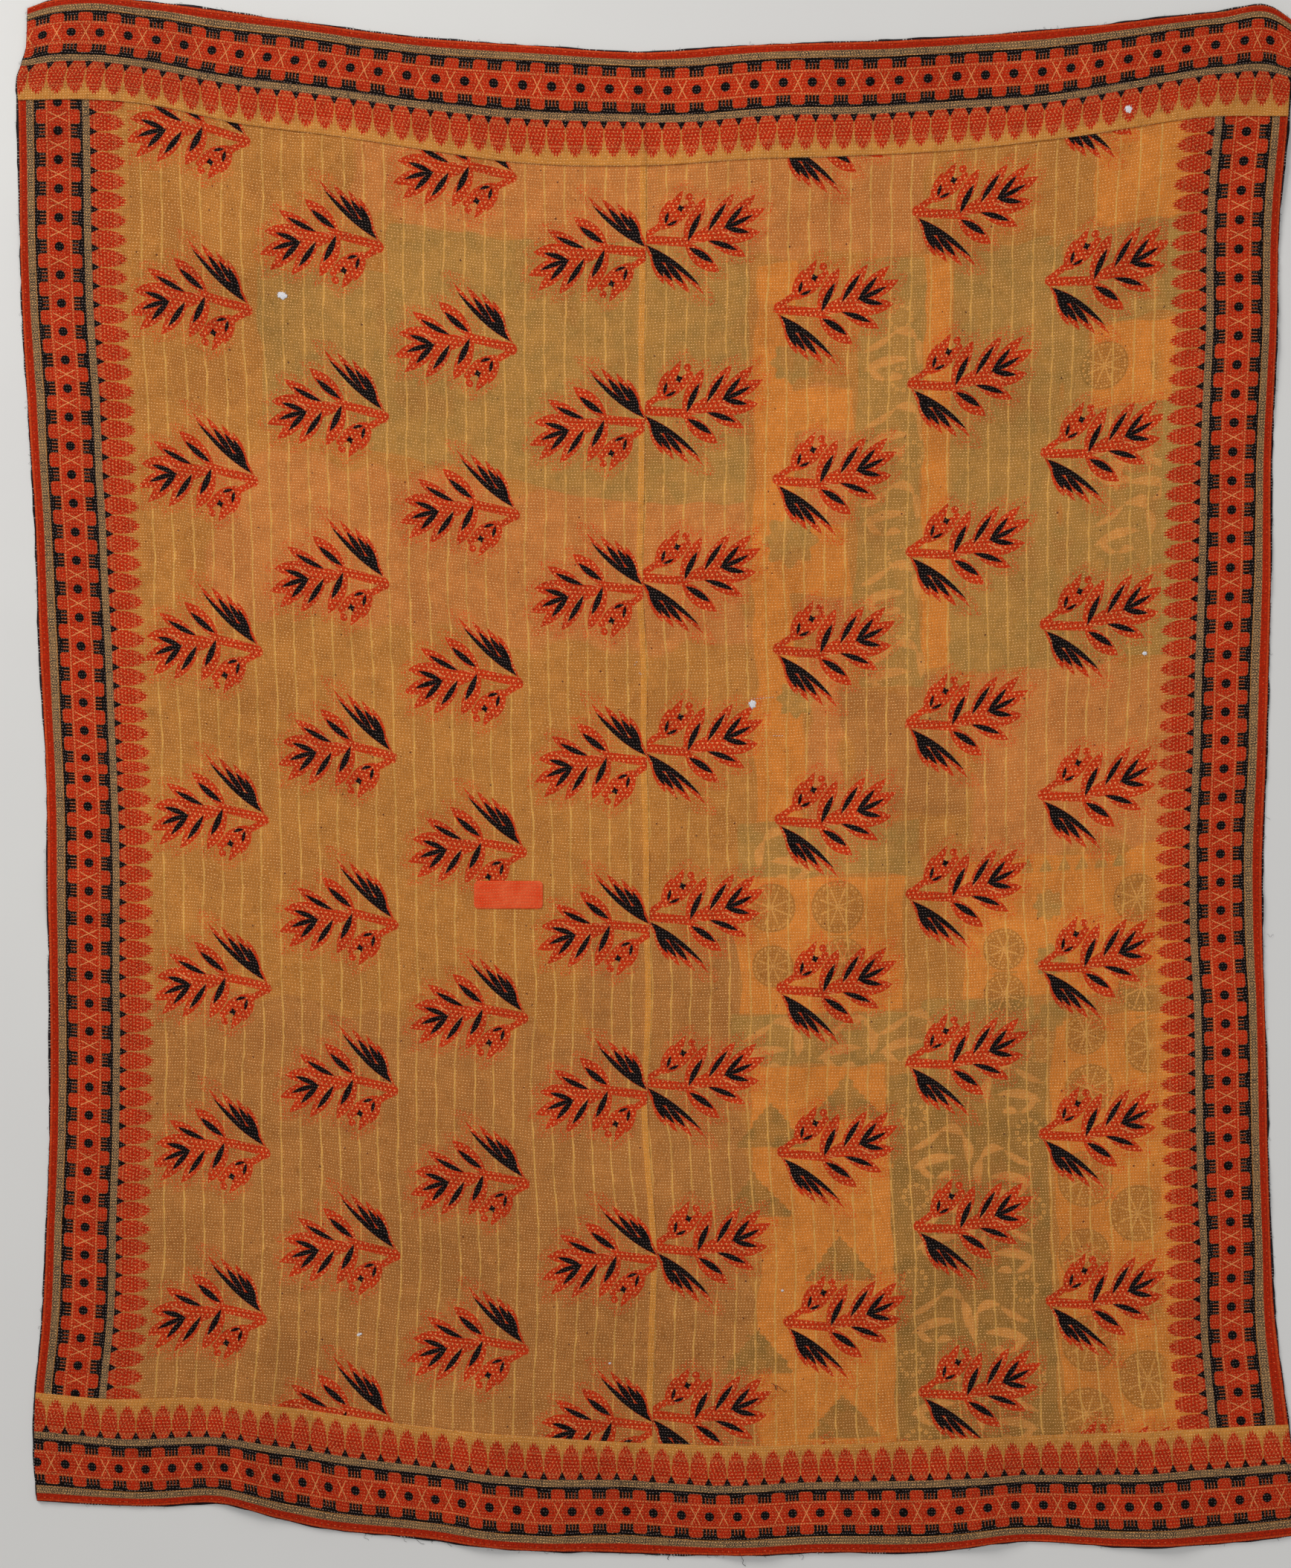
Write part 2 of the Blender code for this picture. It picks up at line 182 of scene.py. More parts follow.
def place(share_across, share_along):
    """Where a point of the flat cloth lies. share_across is -1 at the left side, 0 at the seam and 1 at the
    right; share_along is 0 at the foot and 1 at the top. Each coordinate leans on the other, and a few
    rounds settle both."""
    hem = BAND_WIDTH / QUILT_LENGTH
    across = share_across * HALF_WIDTH
    for _ in range(5):
        ends = [smooth_line(rows, across) for rows in (FOOT_END, FOOT_HEM, TOP_HEM, TOP_END)]
        foot_part = ends[0] + (ends[1] - ends[0]) * share_along / hem
        middle_part = ends[1] + (ends[2] - ends[1]) * (share_along - hem) / (1 - 2 * hem)
        top_part = ends[3] - (ends[3] - ends[2]) * (1 - share_along) / hem
        along = np.where(share_along < hem, foot_part, middle_part)
        along = np.where(share_along > 1 - hem, top_part, along)
        seam = smooth_line(SEAM, along)
        to_left = seam - smooth_line(LEFT_SIDE, along)
        to_right = smooth_line(RIGHT_SIDE, along) - seam
        across = seam + share_across * np.where(share_across < 0, to_left, to_right)
    return across, along


def relief(across, along):
    """How far the cloth stands off the surface: soft folds, each a bell of the distance to its line, and a
    slow pucker of crossed waves that fades round the patch. What would be lower than CONTACT lies flat."""
    height = np.zeros_like(across)
    for from_across, from_along, to_across, to_along, crest, half_width in FOLDS:
        run = np.array([to_across - from_across, to_along - from_along])
        share = ((across - from_across) * run[0] + (along - from_along) * run[1]) / (run @ run)
        share = np.clip(share, 0, 1)
        away = np.hypot(across - from_across - share * run[0], along - from_along - share * run[1])
        height = height + crest * np.exp(-((away / half_width) ** 2))
    lean = 0.35 * np.sin(2 * np.pi * along / PUCKER_ALONG)
    wave = np.sin(2 * np.pi * across / PUCKER_ACROSS + lean) * np.cos(2 * np.pi * along / PUCKER_ALONG)
    calm = calm_round_patch(across, along)
    height = (height + PUCKER * wave) * calm
    return np.maximum(height - CONTACT, 0)


def calm_round_patch(across, along):
    """0 within 8 cm of the patch, 1 beyond 24 cm, and a straight ramp between."""
    from_patch = np.hypot(across - PATCH_MIDDLE[0], along - PATCH_MIDDLE[1])
    return np.clip(from_patch / CALM_REACH - 0.5, 0, 1)


def waves(across, along, lengths, count, seed, stretch=1.0):
    """Crossed waves: the mean of count sine waves in random directions, with wavelengths spread over the
    two given. It swings about 0 and seldom passes 1. stretch over 1 makes ridges that run across."""
    draw = np.random.default_rng(seed)
    total = np.zeros_like(across)
    for _ in range(count):
        turn = draw.uniform(0, np.pi)
        length = np.exp(draw.uniform(np.log(lengths[0]), np.log(lengths[1])))
        phase = draw.uniform(0, 2 * np.pi)
        run = across * np.cos(turn) / stretch + along * np.sin(turn)
        total += np.sin(2 * np.pi * run / length + phase)
    return total / np.sqrt(count / 2) / 1.6


def crumple(across, along):
    """What the quilting adds to the relief for all the cloths together, in metres: crossed waves of 25 to
    90 mm lifted so that they never go below the surface, calm round the patch."""
    fold = waves(across, along, (0.026, 0.09), 30, SEEDS["crumple"], 1.5)
    calm = 0.15 + 0.85 * calm_round_patch(across, along)
    return CRUMPLE * calm * np.clip(0.5 + 0.5 * fold, 0, 1)


def common_height(across, along):
    """The backing's underside, which every other cloth follows."""
    return relief(across, along) + crumple(across, along)


# ---------------------------------------------------------------- meshes from whole arrays
def closing_rim(top_loop, low_loop, picks):
    """Triangles between two closed loops of vertices, run anticlockwise as seen from above. The low loop
    has a vertex only under each picked place of the top loop, so each of its edges takes a fan."""
    after = np.roll(top_loop, -1)
    owner = np.searchsorted(picks, np.arange(len(top_loop)), side="right") - 1
    fans = np.stack([low_loop[owner], after, top_loop], axis=1)
    following = np.roll(low_loop, -1)
    ends = top_loop[np.roll(picks, -1)]
    return np.concatenate([fans, np.stack([low_loop, following, ends], axis=1)])


def grid_quads(ids):
    """The quads of a grid of vertex numbers whose rows run up and whose columns run to the right."""
    corners = ids[:-1, :-1], ids[:-1, 1:], ids[1:, 1:], ids[1:, :-1]
    return np.stack([c.ravel() for c in corners], axis=1)


def rim_of(ids):
    """The border of a grid of vertex numbers, anticlockwise, from its lower left corner."""
    return np.concatenate([ids[0, :-1], ids[:-1, -1], ids[-1, :0:-1], ids[:0:-1, 0]])


def thinned(count, step):
    """Every step-th number from 0 up to count - 1, and always that last one."""
    kept = np.arange(0, count - 1, step)
    return np.append(kept, count - 1)


def mesh_piece(name, points, faces, materials, maps={}, tints={}, zones=None):
    """A named object from arrays: points, a list of face arrays, UV maps and colour attributes that are
    given for each vertex. zones gives each vertex the number of a material, and a face takes the lowest of
    its vertices' numbers."""
    mesh = bpy.data.meshes.new(name)
    mesh.vertices.add(len(points))
    mesh.vertices.foreach_set("co", np.ascontiguousarray(points, dtype=np.float32).ravel())
    corners = np.concatenate([f.ravel() for f in faces]).astype(np.int32)
    sizes = np.concatenate([np.full(len(f), f.shape[1]) for f in faces])
    mesh.loops.add(len(corners))
    mesh.loops.foreach_set("vertex_index", corners)
    mesh.polygons.add(len(sizes))
    mesh.polygons.foreach_set("loop_start", np.concatenate([[0], np.cumsum(sizes)[:-1]]).astype(np.int32))
    mesh.update(calc_edges=True)
    for key, values in maps.items():
        layer = mesh.uv_layers.new(name=key, do_init=False)
        layer.uv.foreach_set("vector", values[corners].astype(np.float32).ravel())
    for key, values in tints.items():
        layer = mesh.attributes.new(name=key, type="FLOAT_COLOR", domain="POINT")
        layer.data.foreach_set("color", values.astype(np.float32).ravel())
    mesh.polygons.foreach_set("use_smooth", np.full(len(sizes), True))
    if zones is not None:
        choice = np.concatenate([zones[f].min(axis=1) for f in faces])
        mesh.polygons.foreach_set("material_index", choice.astype(np.int32))
    for material in materials:
        mesh.materials.append(material)
    mesh.validate()
    return placed(name, mesh)


def placed(name, data):
    """A new object in the scene that shows this mesh, light or camera."""
    thing = bpy.data.objects.new(name, data)
    bpy.context.scene.collection.objects.link(thing)
    return thing


def cloth_shell(name, across, along, high, low, step, materials, maps, tints, zones=None):
    """A closed sheet: a fine grid of upper points, a coarser grid of lower points that takes every step-th
    row and column of it, and a rim between them. All are arrays over the grid."""
    rows, columns = across.shape
    row_picks, column_picks = thinned(rows, step), thinned(columns, step)
    coarse = np.ix_(row_picks, column_picks)

    def both(values):
        """What the upper points have, and then what the lower ones have."""
        return np.concatenate([part.reshape(-1, *values.shape[2:]) for part in (values, values[coarse])])

    upper = np.arange(rows * columns).reshape(rows, columns)
    lower = rows * columns + np.arange(len(row_picks) * len(column_picks)).reshape(len(row_picks), -1)
    x, y = across - MIDDLE[0], along - MIDDLE[1]
    top, under = (np.stack([x, y, height], axis=-1) for height in (high, low))
    points = np.concatenate([top.reshape(-1, 3), under[coarse].reshape(-1, 3)])
    maps, tints = ({key: both(values) for key, values in kept.items()} for kept in (maps, tints))
    along_right = columns - 1 + row_picks[:-1]
    over_top = columns - 1 + rows - 1 + (columns - 1 - column_picks[:0:-1])
    down_left = 2 * (columns - 1) + rows - 1 + (rows - 1 - row_picks[:0:-1])
    picks = np.concatenate([column_picks[:-1], along_right, over_top, down_left])
    rim = closing_rim(rim_of(upper), rim_of(lower), picks)
    faces = [grid_quads(upper), grid_quads(lower)[:, ::-1], rim]
    return mesh_piece(name, points, faces, materials, maps, tints, None if zones is None else both(zones))


def edge_fall(distance, reach, drop):
    """How much lower a folded edge's upper side is at this distance from the edge: a quarter round of the
    given reach, drop at the very edge."""
    share = np.clip(1 - distance / reach, 0, 1)
    return drop * (1 - np.sqrt(1 - share**2))


def ring_faces(ids):
    """The quads between rings of vertices and the two end faces, from vertex numbers by thread and ring."""
    after = np.roll(ids, -1, axis=2)
    quads = np.stack([ids[:, :-1], after[:, :-1], after[:, 1:], ids[:, 1:]], axis=-1).reshape(-1, 4)
    return [quads, ids[:, 0, ::-1], ids[:, -1]]


def tubes(paths, radius, sides=5):
    """Closed round threads that all have the same number of points: points and faces. Each ring is
    p + r (cos t e1 + sin t e2), where e1 lies flat and square to the thread and e2 is square to both."""
    run = np.gradient(paths, axis=1)
    run = run / np.linalg.norm(run, axis=-1, keepdims=True)
    aside = np.cross(run, (0.0, 0.0, 1.0)) + (1e-9, 0, 0)
    aside = aside / np.linalg.norm(aside, axis=-1, keepdims=True)
    other = np.cross(run, aside)
    turn = np.arange(sides)[:, None] * 2 * np.pi / sides
    round_way = np.cos(turn) * aside[:, :, None] + np.sin(turn) * other[:, :, None]
    points = paths[:, :, None] + radius[:, :, None, None] * round_way
    ids = np.arange(points[..., 0].size).reshape(points.shape[:3])
    return points.reshape(-1, 3), ring_faces(ids)


def row_wander(across, row_place, seed):
    """How far a row of stitches strays from its straight line, in mm: slow waves along it that the rows
    near it share."""
    return 1.5 * waves(across, row_place, (60.0, 190.0), 14, seed, 0.9)


def stitch_map(across, row_place, seed):
    """(stitch number along the row, row number). Each row starts where the one before did, give or take,
    so the stitches stand in columns for a few rows and then drift."""
    row = row_place / ROW_PITCH
    draw = np.random.default_rng(seed)
    drift = np.cumsum(draw.normal(0, 0.22, MOST_ROWS))
    phase = np.interp(row, np.arange(MOST_ROWS) + 0.5, drift)
    swing = waves(across, row_place, (40.0, 160.0), 10, seed + 1, 1.0)
    return np.stack([across / STITCH_PITCH + phase + 0.5 * swing, row], axis=-1)


# ---------------------------------------------------------------- the print's own coordinates
def dot_number(table, at):
    """The number of the border's dots at a place along, by straight lines between the charted ones, and
    the mean pitch beyond them."""
    number, spot = np.array(table, dtype=float).T
    inside = np.interp(at, spot, number)
    before = np.minimum(at - spot[0], 0) / DOT_PITCH
    return inside + before + np.maximum(at - spot[-1], 0) / DOT_PITCH


def border_map(dots, line, along, from_edge):
    """(dot number, distance from the edge in metres, shifted so that the black line is where the chart
    has it)."""
    shift = np.interp(along, *np.array(line, dtype=float).T) - LINE_AT
    fade = np.clip(from_edge / LINE_AT, 0, 1)
    return np.stack([dot_number(dots, along), (from_edge - shift * fade) * MM], axis=-1)


def sprig_map(side, across, along):
    """(distance from the seam, place along), in metres, in which the sprigs stand on a true lattice. The
    print runs askew by up to 26 mm on the right panel and by 22 on the left, which is turned half round."""
    away = np.abs(across)
    column = SPRIG_ACROSS * np.floor((away - SPRIG_START) / SPRIG_ACROSS)
    if side > 0:
        skew = 26.5 * (1 - (1 - np.clip(column, 0, 600) / 600) ** 2) - 1
    else:
        skew = 1 - 17.5 * np.sin(np.pi * np.clip(column, 0, 760) / 760) - 4.5 * np.clip(column / 190, 0, 1)
    steps = SPRIG_ALONG * (np.arange(len(SPRIG_ROWS)) - 5)
    up = side * np.interp(along - skew, SPRIG_ROWS, steps)
    return np.stack([away * MM, up * MM], axis=-1)


def sprig_zones(at):
    """For each place on the sprigs' lattice, in mm: the number of the part of a sprig that it is beside, or
    3 where it is clear of them all."""
    x, y = at[..., 0], at[..., 1]
    column = np.floor((x - SPRIG_START) / SPRIG_ACROSS)
    lifted = (y - SPRIG_FOOT) / SPRIG_ALONG - column % 2 / 2
    x = x - column * SPRIG_ACROSS
    y = (lifted - np.floor(lifted)) * SPRIG_ALONG + SPRIG_FOOT
    near = (y > -86) & (y < 94) & (y > 1.1 * x - 192) & (y > -12 - 1.2 * (x + 12)) & (y < 42 + 1.1 * x)
    return np.where(near, np.where(x > PARTED_ACROSS, 2, np.where(y > PARTED_ALONG, 1, 0)), 3)


# ---------------------------------------------------------------- node trees written as sums
def one_node(operation, turned=False):
    """A method of Value that adds one Math node; turned swaps the node's two inputs."""
    if turned:
        return lambda self, other: self.net.math(operation, other, self)
    return lambda self, *others: self.net.math(operation, self, *others)


class Value:
    """A socket in a node tree. Adding, scaling or comparing it adds one Math node to the tree."""

    def __init__(self, net, socket):
        self.net, self.socket = net, socket

    __add__ = __radd__ = one_node("ADD")
    __sub__ = one_node("SUBTRACT")
    __rsub__ = one_node("SUBTRACT", turned=True)
    __mul__ = __rmul__ = one_node("MULTIPLY")
    __truediv__ = one_node("DIVIDE")
    size, whole, over = one_node("ABSOLUTE"), one_node("FLOOR"), one_node("GREATER_THAN")
    part = one_node("FRACT")  # what is left after the whole number below it is taken away

    def ramp(self, start, end):
        """0 at start, 1 at end, and a straight ramp between."""
        return self.net.math("MULTIPLY_ADD", self, 1 / (end - start), -start / (end - start), clamp=True)

    def mask(self, soft=0.8):
        """1 where the value is above 0 and 0 where it is below, with an edge this wide."""
        return self.ramp(-soft / 2, soft / 2)


class Net:
    """A node tree, with short calls that add nodes to it and join them up."""

    def __init__(self, tree):
        self.tree = tree

    def feed(self, socket, value):
        """Joins an input to the value's socket, or sets it to a plain value."""
        if isinstance(value, Value):
            self.tree.links.new(value.socket, socket)
        else:
            socket.default_value = value

    def node(self, kind, inputs=(), **settings):
        """A new node with these settings, its inputs given by their names or numbers."""
        made = self.tree.nodes.new("ShaderNode" + kind)
        for key, value in settings.items():
            setattr(made, key, value)
        for key, value in dict(inputs).items():
            self.feed(made.inputs[key], value)
        return made

    def value(self, output, kind, inputs=(), **settings):
        """One output, by its name or number, of such a new node."""
        return Value(self, self.node(kind, inputs, **settings).outputs[output])

    def math(self, operation, *values, clamp=False):
        """A new Math node's result."""
        return self.value(0, "Math", enumerate(values), operation=operation, use_clamp=clamp)

    def largest(self, *values):
        """The largest of the values."""
        return reduce(lambda one, other: self.math("MAXIMUM", one, other), values)

    def least(self, *values):
        """The least of the values."""
        return reduce(lambda one, other: self.math("MINIMUM", one, other), values)

    def length(self, x, y):
        """The length sqrt(x^2 + y^2) of what is x long one way and y the other."""
        return self.math("SQRT", x * x + y * y)

    def vector(self, operation, first, second):
        """A new Vector Math node's result, a number or a place."""
        output = "Value" if operation in ("DOT_PRODUCT", "DISTANCE") else "Vector"
        return self.value(output, "VectorMath", enumerate((first, second)), operation=operation)

    def joined(self, *parts):
        """A place made of its parts."""
        return self.value(0, "CombineXYZ", enumerate(parts))

    def split(self, vector):
        """The three parts of a place."""
        return [Value(self, socket) for socket in self.node("SeparateXYZ", {0: vector}).outputs]

    def noise(self, place, scale, detail=2.0, roughness=0.5):
        """Cloudy noise from 0 to 1 over the place's first two parts, with this many bumps in a unit."""
        inputs = {"Vector": place, "Scale": scale, "Detail": detail, "Roughness": roughness}
        return self.value("Fac", "TexNoise", inputs, noise_dimensions="2D")

    def chance(self, place):
        """A number from 0 to 1 that is another one for every place."""
        return self.value("Value", "TexWhiteNoise", {"Vector": place}, noise_dimensions="3D")

    def dyed(self, below, colour, mask):
        """The colour laid over what is below it, where the mask says."""
        inputs = {"Factor": mask, "A": below, "B": colour}
        return self.value("Result", "Mix", inputs, data_type="RGBA", blend_type="MIX")

    def deepened(self, below, share):
        """The colour made darker or lighter: each of its parts times the share."""
        return self.value("Vector", "VectorMath", {0: below, "Scale": share}, operation="SCALE")

    def object_place(self):
        """Where a point of the piece is, in metres."""
        return self.value("Object", "TexCoord")

    def flat_map(self, name):
        """The place in one of the cloth's UV maps."""
        return self.value(0, "UVMap", uv_map=name)

    def tint_map(self, name):
        """The four parts of a colour attribute."""
        tint = self.node("Attribute", attribute_type="GEOMETRY", attribute_name=name).outputs
        parts = self.node("SeparateColor", {0: Value(self, tint["Color"])}).outputs
        return [Value(self, socket) for socket in (*parts, tint["Alpha"])]

    def use(self, group, **inputs):
        """A group placed in this tree. It gives back the group's outputs by name."""
        outputs = self.node("Group", inputs, node_tree=group).outputs
        return {socket.name: Value(self, socket) for socket in outputs}


def new_group(name, inputs, outputs, build):
    """A node group whose inputs are a place and the values named, and whose outputs are values. Its nodes
    come from build(net, inputs), which gives back the outputs by name."""
    group = bpy.data.node_groups.new(name, "ShaderNodeTree")
    group.interface.new_socket("Place", in_out="INPUT", socket_type="NodeSocketVector")
    for way, names in (("INPUT", inputs), ("OUTPUT", outputs)):
        for socket in names.split():
            group.interface.new_socket(socket, in_out=way, socket_type="NodeSocketFloat")
    net = Net(group)
    entry, leave = group.nodes.new("NodeGroupInput"), group.nodes.new("NodeGroupOutput")
    given = {socket.name: Value(net, socket) for socket in entry.outputs if socket.name}
    for socket, value in build(net, given).items():
        net.feed(leave.inputs[socket], value)
    return group


def dye(red, green, blue):
    """A colour from its 0 to 255 screen values, as the amount of light it gives back."""
    screen = np.array([red, green, blue]) / 255
    light = np.where(screen < 0.04045, screen / 12.92, ((screen + 0.055) / 1.055) ** 2.4)
    return (*light, 1.0)


# ---------------------------------------------------------------- the prints
def leaf(net, place, base, tip, half, bend=0.0):
    """A pointed leaf from base to tip, between two arcs that stand bend + half and bend - half off the line
    between. An arc that stands s off a line of length l has the radius (l^2/4 + s^2) / (2 s). The value is
    the distance inside the nearer arc. The place's third part is always 1."""
    run, rise = tip[0] - base[0], tip[1] - base[1]
    length = float(np.hypot(run, rise))
    parts = []
    for side, stand in ((1, half + bend), (-1, half - bend)):
        stand = stand if abs(stand) > 0.1 else 0.1
        radius = (length**2 / 4 + stand**2) / (2 * stand)
        back = side * (stand - radius) / length
        middle = ((base[0] + tip[0]) / 2 - rise * back, (base[1] + tip[1]) / 2 + run * back, 1.0)
        away = net.vector("DISTANCE", place, middle)
        parts.append(radius - away if radius > 0 else away + radius)
    return net.least(*parts)


def limb(net, place, base, tip, half):
    """A round-ended bar from base to tip: half its thickness less the distance to the line between."""
    run, rise = tip[0] - base[0], tip[1] - base[1]
    length = float(np.hypot(run, rise))
    back = -(base[0] * run + base[1] * rise)
    aside = (base[0] * rise - base[1] * run) / length
    along = net.vector("DOT_PRODUCT", place, (run / length, rise / length, back / length))
    v = net.vector("DOT_PRODUCT", place, (-rise / length, run / length, aside))
    past = along - net.least(net.largest(along, 0.0), length)
    return half - net.length(past, v)


# The sprig, in mm from the base of its plume. Leaves: base, tip, half width and bend. Limbs: base, tip and
# half thickness. Rounds: middle, middle and radius. Fans: the corners of a triangle.
RED_LEAVES = (
    ((53, 6), (83, 68), 10.5, 0.5), ((84, 8), (124, 71), 10.0, 2), ((98, 8), (155, 68), 10.0, 1),
    ((100, 16), (169, 47), 11.0, 0), ((90, 14), (162, 13), 12.5, -3), ((84, 8), (142, -22), 9.5, 1),
    ((54, 4), (104, -42), 11.5, -2), ((50, 3), (146, 34), 11.5, 0), ((17, 27), (33, 68), 5.4, 1.5),
    ((19, 25), (51, 81), 7.6, 0), ((20, 24), (67, 63), 9.0, -1), ((5, -16), (25, -54), 4.8, 0),
    ((13, -20), (41, -63), 5.0, 0), ((24, -24), (63, -70), 5.4, 0.5), ((2, 2), (84, -74), 5.0, 4.2),
)
RED_LIMBS = (((-1, 11), (58, 4), 6.6), ((2, 19), (20, 31), 4.6))
RED_ROUNDS = (((-2, 13), (-2, 13), 8.4), ((60, 70), (60, 70), 5.6), ((63, 60), (63, 60), 5.2))
RED_FAN = ((-5, 6), (10, -29), (50, -31))
BLACK_LEAVES = (
    ((59, 6), (77, 46), 4.2, 1), ((88, 19), (113, 57), 3.8, 1), ((110, 20), (137, 52), 3.8, 0),
    ((110, 21), (151, 38), 3.4, -1), ((110, 23), (146, 13), 3.8, -1), ((88, 4), (129, -12), 3.8, 1),
    ((60, -4), (95, -28), 4.6, 1), ((26, 33), (30, 50), 2.4, 0), ((28, 31), (43, 37), 2.2, -1),
    ((43, 53), (53, 56), 2.6, 0), ((46, 60), (49, 49), 2.5, 0), ((7, -12), (24, -44), 3.6, 0),
    ((14, -18), (37, -50), 3.8, 0), ((25, -20), (53, -55), 4.2, 0), ((0, 2), (76, -59), 3.6, 3.0),
)
BLACK_FAN = ((0, 2), (13, -22), (40, -25))
PALE_VEINS = (
    ((58, 12), (81, 52), 1.1), ((88, 15), (118, 62), 1.1), ((60, 7), (103, -5), 1.1),
    ((106, 17), (134, 4), 1.1),
)


def fan(net, place, corners):
    """A triangle, its corners given anticlockwise: the least of the distances inside its three sides."""
    sides = []
    for (x0, y0), (x1, y1) in zip(corners, [*corners[1:], corners[0]]):
        length = float(np.hypot(x1 - x0, y1 - y0))
        slope = ((y0 - y1) / length, (x1 - x0) / length, (x0 * (y1 - y0) - y0 * (x1 - x0)) / length)
        sides.append(net.vector("DOT_PRODUCT", place, slope))
    return net.least(*sides)


# The box of each part of a sprig: left, right, low and high.
SPRIG_PARTS = {
    "plume": (-20, PARTED_ACROSS, -100, PARTED_ALONG),
    "flower": (-20, PARTED_ACROSS, PARTED_ALONG, 100),
    "leaves": (PARTED_ACROSS, 200, -100, 100),
}
SPRIG_STRAY = 5.0, 6.0  # how far a sprig strays from its place, across and along
FIELD_ENDS = -200.0, 747.0  # between which the field is printed, across from the seam
SPECK_CELL = 28.0  # the cells of which some hold a dark speck


def reaching(shapes, part, margin):
    """Those of the leaves or bars whose box, grown by their bulge and the margin, meets the part's box."""
    left, right, low, high = part
    found = []
    for base, tip, *size in shapes:
        grown = margin + 0.7 * sum(abs(value) for value in size)
        across = min(base[0], tip[0]) - grown < right and max(base[0], tip[0]) + grown > left
        along = min(base[1], tip[1]) - grown < high and max(base[1], tip[1]) + grown > low
        if across and along:
            found.append((base, tip, *size))
    return found


def draw_sprig(net, given, part):
    """One part of the printed sprig in each cell of the lattice, as red, black and pale masks. The place is
    in metres. Each sprig but those beside the seam strays a few millimetres from its cell's own place."""
    x, y, _ = net.split(net.vector("MULTIPLY", given["Place"], (1 / MM, 1 / MM, 0.0)))
    column = ((x - SPRIG_START) / SPRIG_ACROSS).whole()
    odd = (column * 0.5).part() * 2
    lifted = (y - SPRIG_FOOT - odd * (SPRIG_ALONG / 2)) / SPRIG_ALONG
    row = lifted.whole()
    luck = net.chance(net.joined(column, row, 3.0))
    other = (luck * 51.7).part()
    loose = net.least(column, 1.0)
    local_x = x - column * SPRIG_ACROSS - 1.3 - (other - 0.4) * SPRIG_STRAY[0] * loose
    local_y = (lifted - row) * SPRIG_ALONG + SPRIG_FOOT - (luck - 0.5) * SPRIG_STRAY[1] * loose
    place = net.joined(local_x, local_y, 1.0)
    ragged = (given["Ragged"] - 0.5) * 3.0
    reds = [leaf(net, place, *shape) for shape in reaching(RED_LEAVES, part, 12)]
    reds += [limb(net, place, *shape) for shape in reaching(RED_LIMBS, part, 12)]
    reds += [r - net.vector("DISTANCE", place, (*at, 1.0)) for at, _, r in reaching(RED_ROUNDS, part, 12)]
    blacks = [leaf(net, place, *shape) for shape in reaching(BLACK_LEAVES, part, 9)]
    if part[0] < 0:
        reds.append(fan(net, place, RED_FAN))
        blacks.append(fan(net, place, BLACK_FAN))
    red = net.largest(*reds) + ragged
    black = net.largest(*blacks) + ragged * 0.5 + 0.2
    veins = net.largest(-1.0, *(leaf(net, place, *shape) for shape in reaching(PALE_VEINS, part, 6)))
    inside = x.over(FIELD_ENDS[0]) * (FIELD_ENDS[1] - x).over(0.0)
    dots = spots(net, x, y, 6.6, 1.25)
    red_mask = red.mask(1.0)
    pale = net.largest(veins.mask(0.8) * 0.6, dots * red.ramp(0.6, 1.8)) * red_mask
    around = red.ramp(-13.0, -8.0) * red.ramp(-1.2, -2.4) * (local_x + local_y * 0.3).ramp(25.0, 45.0)
    spray = given["Ragged"].ramp(0.55, 0.60) * around
    red_mask = net.largest(red_mask, spray * 0.8) * inside
    return {"Red": red_mask, "Black": black.mask(0.9) * inside, "Pale": pale * inside}


def spots(net, x, y, pitch, radius):
    """Small round spots in rows that lean: a mask that is 1 within the radius of each."""
    across = (x * 0.94 + y * 0.34) / pitch
    along = (y * 0.94 - x * 0.34) / pitch + across.whole() * 0.37
    wide, high = ((way.part() - 0.5) * pitch for way in (across, along))
    return (radius - net.length(wide, high)).mask(0.8)


def specks(net, x, y):
    """Few small dark specks: one in some cells, each off its cell's middle and of its own size."""
    across, along = x / (SPECK_CELL * MM), y / (SPECK_CELL * MM)
    column, row = across.whole(), along.whole()
    luck = net.chance(net.joined(column, row, 4.0))
    other = (luck * 43.3).part()
    wide = (across - column - 0.2 - luck * 0.6) * SPECK_CELL
    high = (along - row - 0.2 - other * 0.6) * SPECK_CELL
    radius = (luck + other * 1.6).part() * 6.0 - 4.4
    return (radius - net.length(wide, high)).mask(0.8)


# The border's chart, in mm from the cloth's edge.
GUARDS = 17.4, 99.2  # the middles of the two sand-coloured guards
WINDOW = 58.7  # the middle of the red windows between the two black lines, and
DOTS = 58.5  # of the black dots and pale crosses in them
DROPS = 103.5  # where the drops beyond the second guard start
GUARD_COIL = 2.9  # how far apart the coils of the guards' hatching are


